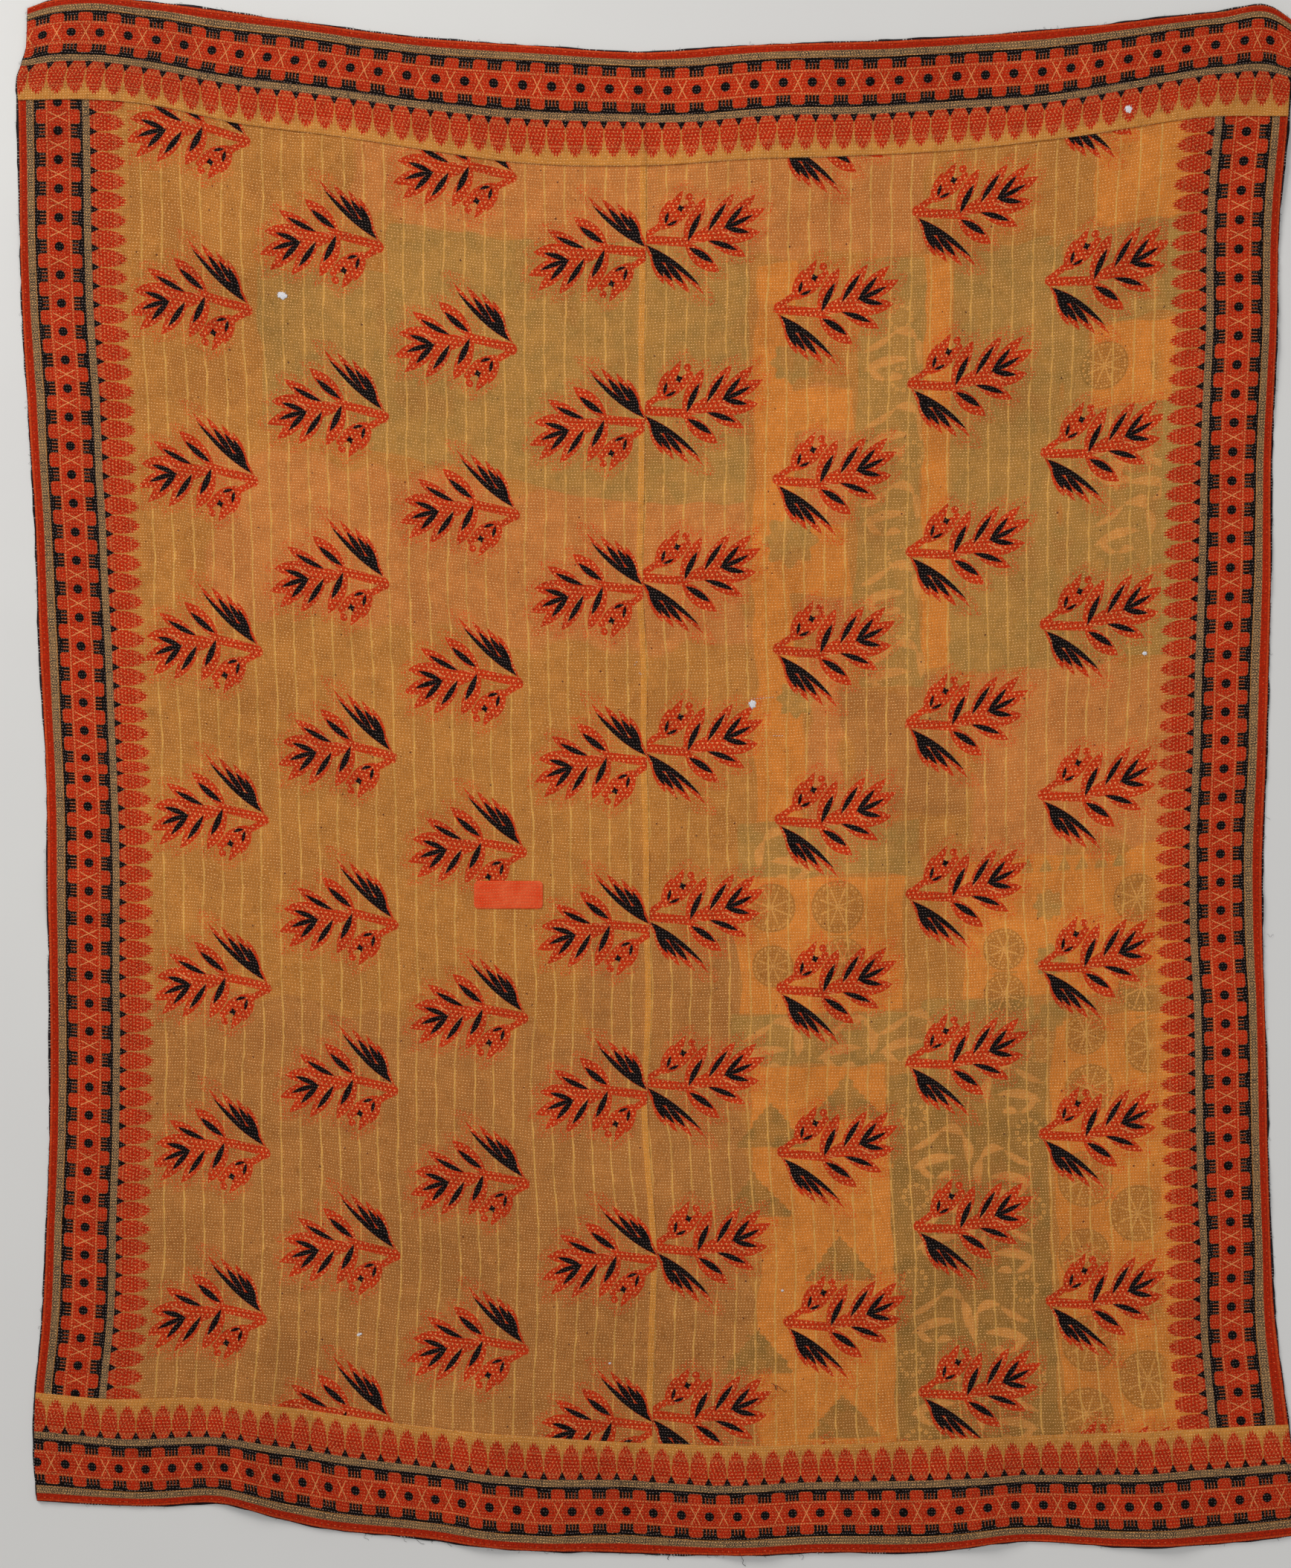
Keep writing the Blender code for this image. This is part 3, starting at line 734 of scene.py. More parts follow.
def draw_border(net, given):
    """The printed border, from the cloth's edge inwards, as masks of its colours and of a painted highlight
    along the rolled edge. The place is the number of the border's dots and the distance from the edge in
    metres. Here d is that distance in mm, g the place along from the nearest dot, and t the place along from
    the nearest gap between two drops."""
    number, deep, _ = net.split(given["Place"])
    ragged = (given["Ragged"] - 0.5) * 2.4
    d = deep * 1000.0 + ragged * 0.4
    g = ((number + 0.5).part() - 0.5) * DOT_PITCH
    beside = g.size()
    from_cross = DOT_PITCH / 2 - beside
    from_window, from_dots = (d - WINDOW).size(), (d - DOTS).size()
    # the red window: a strip down the middle, lobes with round corners, and a comb each side of every dot
    corner_g = net.largest(from_cross - 5.6, 0.0)
    corner_d = net.largest((d - 58.75).size() - 26.75, 0.0)
    lobe = 5.0 - net.length(corner_g, corner_d)
    tooth = ((g / 5.0 + 0.5).part() - 0.5).size() * 5.0
    comb = net.least(0.55 - tooth, 8.6 - beside, 27.0 - from_window)
    window = net.largest(lobe, 18.2 - from_window, comb)
    dot = 6.8 - net.length(g, d - DOTS)
    middle = 35.4 - from_window
    black = net.least(middle, net.largest(0 - window, dot)) + ragged * 0.2
    # the drops beyond the second guard, feathered at their tips, with a black tooth between each two
    step = DOT_PITCH / 1.5
    t = (((number + given["Offset"]) * 1.5 + 0.5).part() - 0.5) * step
    beside_gap = t.size()
    tooth_edge = net.least((116.0 - d) * 0.52 - beside_gap, d - 104.3)
    past = net.largest((d - 114.0) / 41.0, 0.0)
    square = past * past
    feather = ((t / 3.9).part() - 0.5).size()
    half = 13.0 - square * square * 12.5 + (feather * 14.0 - 3.5) * d.ramp(134.0, 152.0)
    from_middle = step / 2 - beside_gap
    drop = net.least(half - from_middle, d - DROPS) + ragged * d.ramp(104.0, 140.0) * 1.6
    edge = 12.4 - d + ragged * 0.3
    red = net.largest(edge, net.least(middle, window), drop)
    # the pale marks: crosses between dots, rings and beads in the drops, fine lines and dashed rows
    cross = net.least(0.7 - (from_dots * 0.5 - from_cross).size(), 13.0 - from_dots)
    ring = 0.10 - (net.length((d - 127.0) / 12.0, from_middle / 7.5) - 1.0).size()
    in_drop = d.over(104.0)
    beads = spots(net, number * DOT_PITCH, d, 5.6, in_drop * 0.15 + 1.0)
    scattered = beads * (in_drop * 0.4 + 0.25) * d.over(27.0)
    marks = net.largest(cross.mask(0.7), ring.mask(0.15) * beads, scattered)
    lines = net.least((d - 111.5).size(), (d - 141.0).size())
    dashes = (0.9 - (from_window - 16.0).size()).mask(0.8) * ((number * 9.0).part() - 0.35).over(0.0)
    from_guards = [(d - guard).size() for guard in GUARDS]
    guard = net.largest(5.2 - from_guards[0], 5.4 - from_guards[1])
    turn = ((number * (DOT_PITCH / 12.0)).part() - 0.5) * 12.0
    coil = net.length(net.least(*from_guards), turn) / GUARD_COIL
    seam_row = (1.0 - (d - 6.2).size()).mask(0.8) * ((number * 4.0).part() - 0.5).over(0.0)
    return {
        "Red": red.mask(0.9),
        "Black": net.largest(black.mask(0.8), tooth_edge.mask(0.8)),
        "Guard": guard.mask(0.8),
        "Hatch": (coil.part() - 0.5).size().ramp(0.14, 0.30),
        "Pale": net.largest(marks, (1.3 - lines).mask(1.2) * 0.2, dashes * 0.7),
        "Plain": (11.8 - d).mask(1.0) * (1.0 - seam_row),
        # a painted highlight: the lighter line along the rolled edge, 0.8 to 3.2 mm in
        "Fold": net.least((3.2 - d).mask(1.2), (d - 0.8).mask(1.0)),
    }


def draw_stitches(net, given):
    """Rows of running stitches. The place is the stitch's number along its row and the row's number. Each
    stitch is a short dash, 1 - (du/half length)^2 - (dv/half thickness)^2, and the cloth swells between
    rows as 1 - (1 - |2 v - 1|)^2, where v runs from 0 to 1 across the strip that a row is the middle of."""
    number, rows, _ = net.split(given["Place"])
    row = rows.whole()
    shifted = number + (row * 0.618).part() * 0.35
    stitch = shifted.whole()
    luck = net.chance(net.joined(stitch, row, 2.0))
    other = (luck * 37.7).part()
    du = (shifted - stitch - 0.5) * STITCH_PITCH + (other - 0.5) * 0.7
    dv = (rows - row - 0.5) * ROW_PITCH + (luck - 0.5) * 0.7 + (other - 0.5) * 0.2 * du
    shape_u, shape_v = du / (0.88 + luck * 0.40), dv / given["Thickness"]
    inside = 1.0 - shape_u * shape_u - shape_v * shape_v
    dip = 1.0 - ((rows - row) * 2.0 - 1.0).size()
    return {
        "Thread": inside.ramp(-0.25, 0.55) * (other - 0.03).over(0.0),
        "Shade": 0.62 + luck * 0.38,
        "Height": (1.0 - dip * dip) * 0.24,
        # painted shadow: a dark ring round each stitch where the cloth is drawn in
        "Hole": (inside + 1.4).ramp(0.0, 1.2) * (1 - inside.ramp(-0.3, 0.4)) * (1.0 - dip * 0.2),
    }


def draw_weave(net, given):
    """Plain-woven cotton: the slubs of its warp as fine streaks, a coarse mottle of uneven dye, and a fine
    one of single yarns."""
    place = given["Place"]
    return {
        "Warp": net.noise(net.vector("MULTIPLY", place, (900.0, 70.0, 70.0)), 1.0, 0.0),
        "Cloud": net.noise(place, 30.0, 2.0, 0.65),
        "Grain": net.noise(place, 420.0, 1.0, 0.6),
    }


STITCHES = new_group("running_stitches", "Thickness", "Thread Shade Height Hole", draw_stitches)
WEAVE = new_group("woven_cotton", "", "Warp Cloud Grain", draw_weave)
SPRIGS = [
    new_group(f"sari_sprigs_{name}", "Ragged", "Red Black Pale", partial(draw_sprig, part=part))
    for name, part in SPRIG_PARTS.items()
]
BORDER = new_group("sari_border", "Ragged Offset", "Red Black Guard Hatch Pale Plain Fold", draw_border)

MUSTARD = dye(199, 128, 57)
RED = dye(206, 53, 12)
BORDER_RED = dye(190, 42, 9)
BLACK = dye(14, 7, 6)
GUARD_SAND = dye(164, 126, 84)
GUARD_GREY = dye(64, 56, 50)
PALE_PRINT = dye(252, 178, 108)
OLIVE = dye(184, 135, 66)
DEEP_OLIVE = dye(150, 106, 48)
BRIGHT_ORANGE = dye(226, 135, 54)
GHOST_ORANGE = dye(226, 150, 74)
ROSE = dye(212, 129, 63)
BROWN = dye(188, 120, 58)
# the brown of the painted shade smudges
SMUDGE_SHADE = dye(150, 88, 40)
SPECK = dye(74, 30, 34)
STRIPE = dye(228, 168, 84)
THREAD = dye(250, 190, 126)
THREAD_ON_RED = dye(252, 152, 100)
THREAD_ON_BLACK = dye(150, 128, 120)
HEM_GOLD = dye(210, 138, 62)
SEAM_ORANGE = dye(224, 148, 62)
# the colour of the painted highlight along the border's rolled edge
FOLD_HIGHLIGHT_ORANGE = dye(222, 92, 42)
PATCH_RED, PATCH_WORN = dye(226, 72, 32), dye(236, 98, 54)
DARK, DARK_WORN, DARK_THREAD = dye(22, 19, 22), dye(44, 38, 42), dye(176, 168, 160)
STRIPE_PITCH = 29.2  # of the ground's pale warp stripes


def new_cotton(name):
    """An empty cotton material, and its net."""
    material = bpy.data.materials.new(name)
    material.use_nodes = True
    return material, Net(material.node_tree)


def finish_cotton(net, colour, height, rough):
    """Joins a cotton's colour, relief and roughness to its shader. The height is in millimetres."""
    shader = net.tree.nodes["Principled BSDF"].inputs
    net.feed(shader["Base Color"], colour)
    net.feed(shader["Roughness"], rough)
    shader["Specular IOR Level"].default_value = 0.1
    bump = {"Strength": 1.0, "Distance": MM, "Height": height}
    net.feed(shader["Normal"], net.value("Normal", "Bump", bump))


def quilted(net, weave, colour, red, black, plain, slub=0.12, rough=(0.80, 0.14)):
    """Finishes a printed cotton with its running stitches: pale thread, a painted shadow round each end of it
    where the cloth dips, and the swell of the cloth between the rows. red and black say where the print is,
    and plain where there are no stitches."""
    grain = weave["Grain"]
    sewing = net.use(STITCHES, Place=net.flat_map("stitch"), Thickness=0.62)
    thread = net.dyed(net.dyed(THREAD, THREAD_ON_RED, red), THREAD_ON_BLACK, black)
    thread = net.deepened(thread, sewing["Shade"] + grain * 0.2)
    share = (red * -0.3 + 0.80 - black * 0.05) * (1.0 - plain)
    # painted shadow in the dip round each stitch, deeper on the red
    colour = net.deepened(colour, 1.0 - sewing["Hole"] * (red * 0.22 + 0.22))
    colour = net.dyed(colour, thread, sewing["Thread"] * share)
    finish_cotton(net, colour, weave["Warp"] * slub + sewing["Height"], rough[0] + grain * rough[1])


def figures(net):
    """Ghosts of round figures printed on the cloth below: a ring of pale beads, or a wheel of beads and
    spokes. The figure map holds the place from the figure's middle and its radius in mm, and its kind: 1
    for beads and 2 for a wheel. Gives back masks of pale and of olive."""
    dx, dy, radius, kind = net.tint_map("figure")
    far = net.length(dx, dy)
    turn = net.math("ARCTAN2", dy, dx) / (2 * np.pi)
    wheel = (kind - 1.5).over(0.0)
    count = 11.0 + wheel * 13.0
    round_way = ((turn * count).part() - 0.5) * far * (2 * np.pi) / count
    bead = 3.1 - wheel * 1.4 - net.length(far - radius * 0.88, round_way)
    hollow = 1.0 - (bead - 1.9).mask(0.9) * (1.0 - wheel)
    spoke = 1.1 - ((turn * 8.0).part() - 0.5).size() * far * (2 * np.pi / 8)
    inside = (radius * 0.74 - far).mask(1.0)
    lines = net.largest(1.4 - (far - radius * 0.70).size(), 1.6 - (far - radius * 0.97).size())
    near = (radius * 1.02 - far).mask(2.0) * radius.over(3.0)
    pale = net.largest(bead.mask(1.0) * hollow, spoke.mask(1.0) * inside * wheel) * near
    return pale, net.largest(lines.mask(1.6) * 0.75, 0.62) * near * wheel


def layered_ground(net, weave):
    """The mustard ground with the colours of the old cloths under it. Gives back the colour and the olive
    mask. A map is 0.5 at an edge and 1 from 10 mm inside it."""
    olive, orange, rose, brown = net.tint_map("under")
    sharp = 14.0 / 1.5
    uneven = (weave["Cloud"] - 0.5) * 0.10 + 0.5
    colour = net.dyed(MUSTARD, ROSE, (rose - uneven) * 2.4 + 0.5)
    colour = net.dyed(colour, BROWN, net.least(net.largest((brown - uneven) * 3.0 + 0.5, 0.0), 1.0))
    colour = net.dyed(colour, BRIGHT_ORANGE, ((orange - uneven) * sharp + 0.5).ramp(0.0, 1.0))
    return colour, ((olive - uneven) * sharp + 0.5).ramp(0.0, 1.0)


def printed_border(net, colour, border, cloud):
    """The border's red, its sand-coloured guards, its pale marks and its black, over a ground, with the plain
    outer strip darkened (partly its own duller red, partly painted shade of the rolled edge) and a painted
    highlight along the fold.
    """
    colour = net.dyed(colour, BORDER_RED, border["Red"])
    # the plain outer strip made darker and mottled: partly its own duller red, partly painted shade of the
    # rolled edge
    colour = net.deepened(colour, 1.03 - border["Plain"] * cloud * 0.3)
    # painted highlight along the rolled edge
    colour = net.dyed(colour, FOLD_HIGHLIGHT_ORANGE, border["Fold"] * 0.6)
    colour = net.dyed(colour, GUARD_SAND, border["Guard"])
    speckle = border["Hatch"] * (0.5 + cloud.ramp(0.40, 0.52) * 0.4)
    colour = net.dyed(colour, GUARD_GREY, border["Guard"] * speckle)
    colour = net.dyed(colour, PALE_PRINT, border["Pale"] * 0.75 * border["Red"])
    return net.dyed(colour, BLACK, border["Black"])


def aged_and_shaded(net, colour, tone_and_shade, weave, red):
    """Uneven dye, slow changes of tone with painted shade in them, and the streaks of single yarns."""
    cloud, grain, warp = weave["Cloud"], weave["Grain"], weave["Warp"]
    # the tone carries painted shade as well as uneven dye
    level = 0.62 + tone_and_shade * 0.38 + (cloud - 0.5) * 0.36 + (grain - 0.5) * (red * 0.7 + 0.4) + (warp - 0.5) * 0.3
    return net.deepened(colour, level)


def field_cotton(name, sprig_group, ghosts):
    """The panels' field: mustard ground with the layers under it, pale warp stripes, and the quilting over
    all of it. Where there can be sprigs it has them, and on the right panel it has the ghosts of the
    scrolls and round figures that are printed on the old cloths."""
    material, net = new_cotton(name)
    weave = net.use(WEAVE, Place=net.object_place())
    cloud = weave["Cloud"]
    colour, olive = layered_ground(net, weave)
    tone_and_shade, shade_smudge, scroll, strip = net.tint_map("age_and_shade")
    olive_mask = olive * (1.0 - cloud.ramp(0.30, 0.55) * 0.25)
    flat = net.flat_map("cloth")
    across, along, _ = net.split(flat)
    if ghosts:
        short_of_border = across.ramp(0.747, 0.731)
        bead, wheel = (mask * short_of_border for mask in figures(net))
        drawn = net.largest(((scroll - 0.5) * 9.3 + 0.5).ramp(0.0, 1.0) * olive, bead)
        colour = net.dyed(colour, net.dyed(OLIVE, DEEP_OLIVE, strip * 0.65), olive_mask)
        colour = net.dyed(colour, DEEP_OLIVE, wheel * 0.8)
        colour = net.dyed(colour, GHOST_ORANGE, drawn * 0.9)
        colour = net.dyed(colour, STRIPE, bead * 0.35)
    else:
        colour = net.dyed(colour, OLIVE, olive_mask)
    # painted shade: brownish dark smudges laid at random over the ground
    colour = net.dyed(colour, SMUDGE_SHADE, shade_smudge.ramp(0.66, 0.95) * cloud.ramp(0.35, 0.6) * 0.35)
    colour = net.dyed(colour, SPECK, specks(net, across, along) * 0.8)
    bend = (cloud - 0.5) * 0.004 + (shade_smudge - 0.5) * 0.003
    from_gap = (((across + bend) / (STRIPE_PITCH * MM)).part() - 0.5).size() * STRIPE_PITCH
    colour = net.dyed(colour, STRIPE, (from_gap - 13.4).mask(1.0) * (0.35 + cloud * 1.1))
    if not ghosts:
        colour = net.dyed(colour, SEAM_ORANGE, strip * 0.85)
    red = black = 0.0
    if sprig_group:
        sprig = net.use(sprig_group, Place=flat, Ragged=weave["Grain"])
        red, black = sprig["Red"], sprig["Black"]
        colour = net.dyed(colour, RED, red)
        colour = net.dyed(colour, PALE_PRINT, sprig["Pale"] * 0.9)
        colour = net.dyed(colour, BLACK, black)
    quilted(net, weave, aged_and_shaded(net, colour, tone_and_shade, weave, red), red, black, 0.0)
    return material


def border_cotton(name, offset=None):
    """The cloth with the printed border. With an offset for its drops it is the bands' own, with a plain
    hem beyond them; else it is the panels', over the same layered ground as their field."""
    material, net = new_cotton(name)
    weave = net.use(WEAVE, Place=net.object_place())
    place = net.flat_map("border")
    if offset is None:
        colour, olive = layered_ground(net, weave)
        colour = net.dyed(colour, OLIVE, olive)
    else:
        hem = (net.split(place)[1] * 1000.0 + weave["Cloud"] * 8.0).ramp(150.0, 156.0)
        colour = net.dyed(MUSTARD, HEM_GOLD, hem)
    border = net.use(BORDER, Place=place, Ragged=weave["Grain"], Offset=offset or 0.0)
    colour = printed_border(net, colour, border, weave["Cloud"])
    colour = aged_and_shaded(net, colour, net.tint_map("age_and_shade")[0], weave, border["Red"])
    quilted(net, weave, colour, border["Red"], border["Black"], border["Plain"])
    return material


def dark_cotton(name):
    """The backing: near-black cotton with the same rows of stitches, seen from behind and at the edge."""
    material, net = new_cotton(name)
    weave = net.use(WEAVE, Place=net.object_place())
    sewing = net.use(STITCHES, Place=net.flat_map("stitch"), Thickness=0.55)
    colour = net.dyed(DARK, DARK_WORN, weave["Cloud"].ramp(0.35, 0.7))
    colour = net.dyed(colour, DARK_THREAD, sewing["Thread"] * 0.85)
    finish_cotton(net, colour, weave["Warp"] * 0.2 + sewing["Height"], 0.84 + weave["Grain"] * 0.12)
    return material


def darned_cotton(name):
    """The patch: orange-red cotton, with the rows of stitches running on over it."""
    material, net = new_cotton(name)
    weave = net.use(WEAVE, Place=net.object_place())
    colour = net.dyed(PATCH_RED, PATCH_WORN, weave["Cloud"].ramp(0.3, 0.7))
    colour = net.deepened(colour, 0.85 + weave["Grain"] * 0.3)
    quilted(net, weave, colour, 1.0, 0.0, 0.0, 0.2, (0.82, 0.12))
    return material


def yarn(name, dark, pale):
    """Loose cotton: one colour for its shaded side and one for its worn tips."""
    material, net = new_cotton(name)
    mottle = net.noise(net.object_place(), 900.0)
    finish_cotton(net, net.dyed(dark, pale, mottle.ramp(0.3, 0.7)), mottle * 0.2, 0.86 + mottle * 0.1)
    return material


# ---------------------------------------------------------------- the pieces
BORDER_DEEP = 158.0  # of the print, in mm from the cloth's edge
# How far apart a cloth's lines are, in mm: across, and along. Under the bands a panel's are further apart.
PANEL_CELL, BAND_CELL, BACKING_CELL, PATCH_CELL = (4.75, ROW_PITCH), (3.2, 2.6), 9.0, 1.0
HIDDEN_CELL, OVERLAP = 8.5, 8.0
# How a cloth's edge rounds off: over how many mm, and by how much at the very edge, in metres.
PANEL_EDGE, BAND_EDGE, BAND_FOLD = (2.6, 0.0008), (2.6, 0.0007), (2.0, 0.0011)
BACKING_EDGE, PATCH_EDGE = (1.2, 0.0006), (1.8, 0.0005)
BY_BAND, UNDER_BAND = 0.0001, 0.00045  # how much lower a panel is at a band's edge, and more under it
BY_PATCH = 0.075  # how far from the patch's middle a panel's crinkle stays below it


def spaced(start, stop, pitch, extras=()):
    """Places from start to stop about one pitch apart, with the extra ones instead of those beside them."""
    regular = np.linspace(start, stop, int(round((stop - start) / pitch)) + 1)
    extras = np.array([start, stop, *extras], dtype=float)
    clear = np.abs(regular[:, None] - extras[None, :]).min(axis=1) > 0.4 * pitch
    return np.unique(np.concatenate([regular[clear], extras]))


def edge_lines(edge, inward):
    """Extra lines close to a cloth's edge, so that it rounds off."""
    return [edge + inward * step for step in (0.0, 0.4, 1.2, 2.6)]


SIDE_LINES = [*edge_lines(-ALL_ACROSS, 1), *edge_lines(ALL_ACROSS, -1)]
PATCH_FLAT = -204.5, 952.0  # the patch's middle on the flat cloth


def flat_sheet(columns, rows):
    """The grid of a cloth's flat places, in mm, and where they lie."""
    a, b = np.meshgrid(columns, rows)
    across, along = place(a / ALL_ACROSS, b / ALL_ALONG)
    return a, b, across, along


def crinkle(a, b, seed):
    """The fine crinkle that the rows of stitches draw up, from 0 to 1: short waves that run across."""
    fine = waves(a, b, (9.0, 24.0), 26, seed, 1.8)
    broad = waves(a, b, (24.0, 60.0), 12, seed + 1, 1.0)
    return np.clip(0.5 + 0.35 * fine + 0.25 * broad, 0, 1)


def stitch_place(a, b, seed):
    """A cloth's stitch map, its rows straying a little from straight lines."""
    return stitch_map(a, b + row_wander(a, b, seed), seed + 3)


def laid(piece, node):
    """Attaches a cloth that lies on others or on the surface to the root, and hides the imported part that it
    replaces.
    """
    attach(piece, "root")
    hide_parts(node)


def panel(side, name, node, materials):
    """One printed panel, from end to end of the quilt and from the seam to its side. Under the bands it
    needs few lines, and it lies lower there and by the patch, so that neither is touched. The left one's
    edge is felled over the seam as a raised strip. The materials are those of the sprigs' three parts, of
    the ground between them and of the printed border."""
    extras = [*edge_lines(side * ALL_ACROSS, -side), side * (ALL_ACROSS - BORDER_DEEP)]
    extras += [-STRIP_WIDE - 0.5, -STRIP_WIDE, -1.0] if side < 0 else [0.6]
    columns = spaced(*sorted((0.0, side * ALL_ACROSS)), PANEL_CELL[0], extras)
    ends = [*edge_lines(0.0, 1), *edge_lines(ALL_ALONG, -1)]
    shown = spaced(BAND_DEEP - OVERLAP, ALL_ALONG - BAND_DEEP + OVERLAP, PANEL_CELL[1])
    below = spaced(0, shown[0], HIDDEN_CELL, ends[:4])
    above = spaced(shown[-1], ALL_ALONG, HIDDEN_CELL, ends[4:])
    a, b, across, along = flat_sheet(columns, np.concatenate([below[:-1], shown, above[1:]]))
    edge, beside_end = ALL_ACROSS - np.abs(a), np.minimum(b, ALL_ALONG - b)
    low = common_height(across, along) + BACKING_THICK + CLEARANCE
    fine = FACE_CRINKLE * (crinkle(a, b, SEEDS["panel"] + side) * 2 - 1)
    fine = np.where(beside_end < BAND_DEEP + 4, np.minimum(fine, 0) - BY_BAND, fine)
    fine = np.where(beside_end < BAND_DEEP - 4, fine - UNDER_BAND, fine)
    near_patch = np.hypot(across - PATCH_MIDDLE[0], along - PATCH_MIDDLE[1]) < BY_PATCH
    fine = np.where(near_patch, np.minimum(fine, 0), fine)
    on_strip = (a >= -STRIP_WIDE) & (a <= 0) & (side < 0)
    outer = edge_fall(np.minimum(edge, beside_end), *PANEL_EDGE)
    high = low + FACE_THICK + fine + SEAM_RISE * on_strip - outer
    dots, line = (DOTS_LEFT, LINE_LEFT) if side < 0 else (DOTS_RIGHT, LINE_RIGHT)
    maps = {
        "cloth": sprig_map(side, a, b),
        "stitch": stitch_place(a, b, SEEDS["panel_rows"] + side),
        "border": border_map(dots, line, b, edge),
    }
    tints = {"under": under_layers(a, b), "age_and_shade": ageing_and_shade(a, b), "figure": round_figures(a, b)}
    tints["age_and_shade"][..., 3] = on_strip if side < 0 else np.clip((780 - b) / 160, 0, 1)
    zones = np.where(edge <= BORDER_DEEP + 0.01, 4, sprig_zones(maps["cloth"] / MM))
    piece = cloth_shell(name, across, along, high, low, 8, materials, maps, tints, zones)
    laid(piece, node)


def band(at_top, name, node, material):
    """A band of border cloth across one end, over both panels, with its inner edge folded under."""
    hem = HEM_WIDTH / MM
    extras = [-STRIP_WIDE - 0.5, -STRIP_WIDE, 0.0, 0.6]
    columns = spaced(-ALL_ACROSS, ALL_ACROSS, BAND_CELL[0], extras + SIDE_LINES)
    ends = [*edge_lines(0.0, 1), *edge_lines(BAND_DEEP, -1), BAND_DEEP - hem]
    deep = spaced(0, BAND_DEEP, BAND_CELL[1], ends)
    a, b, across, along = flat_sheet(columns, ALL_ALONG - deep[::-1] if at_top else deep)
    inward = ALL_ALONG - b if at_top else b
    on_strip = (a >= -STRIP_WIDE) & (a <= 0)
    low = common_height(across, along) + PANEL_TOP + CLEARANCE + SEAM_RISE * on_strip
    hem_rise = HEM_RISE * np.clip((inward - BAND_DEEP + hem) / 1.5 + 0.5, 0, 1)
    fine = FACE_CRINKLE * (crinkle(a, b, SEEDS["band"] + at_top) * 2 - 1)
    outer = edge_fall(np.minimum(ALL_ACROSS - np.abs(a), inward), *BAND_EDGE)
    folded = edge_fall(BAND_DEEP - inward, *BAND_FOLD)
    high = low + BAND_THICK + hem_rise + fine - outer - folded
    dots, line = (DOTS_TOP, LINE_TOP) if at_top else (DOTS_FOOT, LINE_FOOT)
    maps = {
        "cloth": np.stack([a * MM, b * MM], axis=-1),
        "stitch": stitch_place(a, b, SEEDS["band_rows"] + at_top),
        "border": border_map(dots, line, a, inward),
    }
    piece = cloth_shell(name, across, along, high, low, 6, [material], maps, {"age_and_shade": ageing_and_shade(a, b)})
    laid(piece, node)


def backing(name, node, material):
    """The dark cloth at the back. Its edge reaches past the face by a few millimetres, unevenly."""
    columns = spaced(-ALL_ACROSS, ALL_ACROSS, BACKING_CELL, SIDE_LINES)
    rows = spaced(0, ALL_ALONG, BACKING_CELL, [*edge_lines(0.0, 1), *edge_lines(ALL_ALONG, -1)])
    a, b, across, along = flat_sheet(columns, rows)
    wander = np.sin(37 * across + 11 * along) + np.sin(23 * along - 17 * across + 2)
    frayed = waves(a, b, (22.0, 60.0), 16, SEEDS["backing_edge"])
    reach = np.maximum(BACKING_MARGIN + BACKING_UNEVEN * wander / 2 + 0.0007 * frayed, 0.0004)
    across = across + reach * np.sign(a) * (np.abs(a) == ALL_ACROSS)
    along = along + reach * ((b == ALL_ALONG) * 1.0 - (b == 0))
    low = common_height(across, along)
    outer = edge_fall(np.minimum(ALL_ACROSS - np.abs(a), np.minimum(b, ALL_ALONG - b)), *BACKING_EDGE)
    maps = {"cloth": np.stack([a * MM, b * MM], axis=-1), "stitch": stitch_place(a, b, SEEDS["backing_rows"])}
    piece = cloth_shell(name, across, along, low + BACKING_THICK - outer, low, 2, [material], maps, {})
    laid(piece, node)


def patch(name, node, material):
    """The darned patch: a plate whose square grid is drawn in at the corners, where a quarter square
    (x, y) becomes a quarter disc (x sqrt(1 - y^2/2), y sqrt(1 - x^2/2))."""
    half = np.array(PATCH_SIZE) / 2
    x, y = np.meshgrid(*(spaced(-h / MM, h / MM, PATCH_CELL) * MM for h in half))
    over = [np.clip((np.abs(v) - h + PATCH_CORNER) / PATCH_CORNER, 0, 1) for v, h in zip((x, y), half)]
    drawn = [over[0] * np.sqrt(1 - over[1] ** 2 / 2), over[1] * np.sqrt(1 - over[0] ** 2 / 2)]
    x = x + np.sign(x) * (drawn[0] - over[0]) * PATCH_CORNER
    y = y + np.sign(y) * (drawn[1] - over[1]) * PATCH_CORNER
    edge = (1 - np.maximum(drawn[0], drawn[1])) * PATCH_CORNER / MM
    low = np.full_like(x, PANEL_TOP + CLEARANCE)
    uneven = waves(x / MM, y / MM, (4.0, 14.0), 20, SEEDS["patch"])
    high = low + PATCH_THICK + 0.00012 * uneven - edge_fall(edge, *PATCH_EDGE)
    stitches = stitch_place(PATCH_FLAT[0] + x / MM, PATCH_FLAT[1] + y / MM, SEEDS["patch_rows"])
    maps = {"cloth": np.stack([x, y], axis=-1), "stitch": stitches}
    across, along = PATCH_MIDDLE[0] + x, PATCH_MIDDLE[1] + y
    piece = cloth_shell(name, across, along, high, low, 4, [material], maps, {})
    laid(piece, node)


def box_depth(a, b, boxes):
    """How far inside the nearest of some boxes a place is, in mm."""
    depths = [
        np.minimum(np.minimum(a - left, right - a), np.minimum(b - low, high - b))
        for left, right, low, high in boxes
    ]
    return np.maximum.reduce(depths)


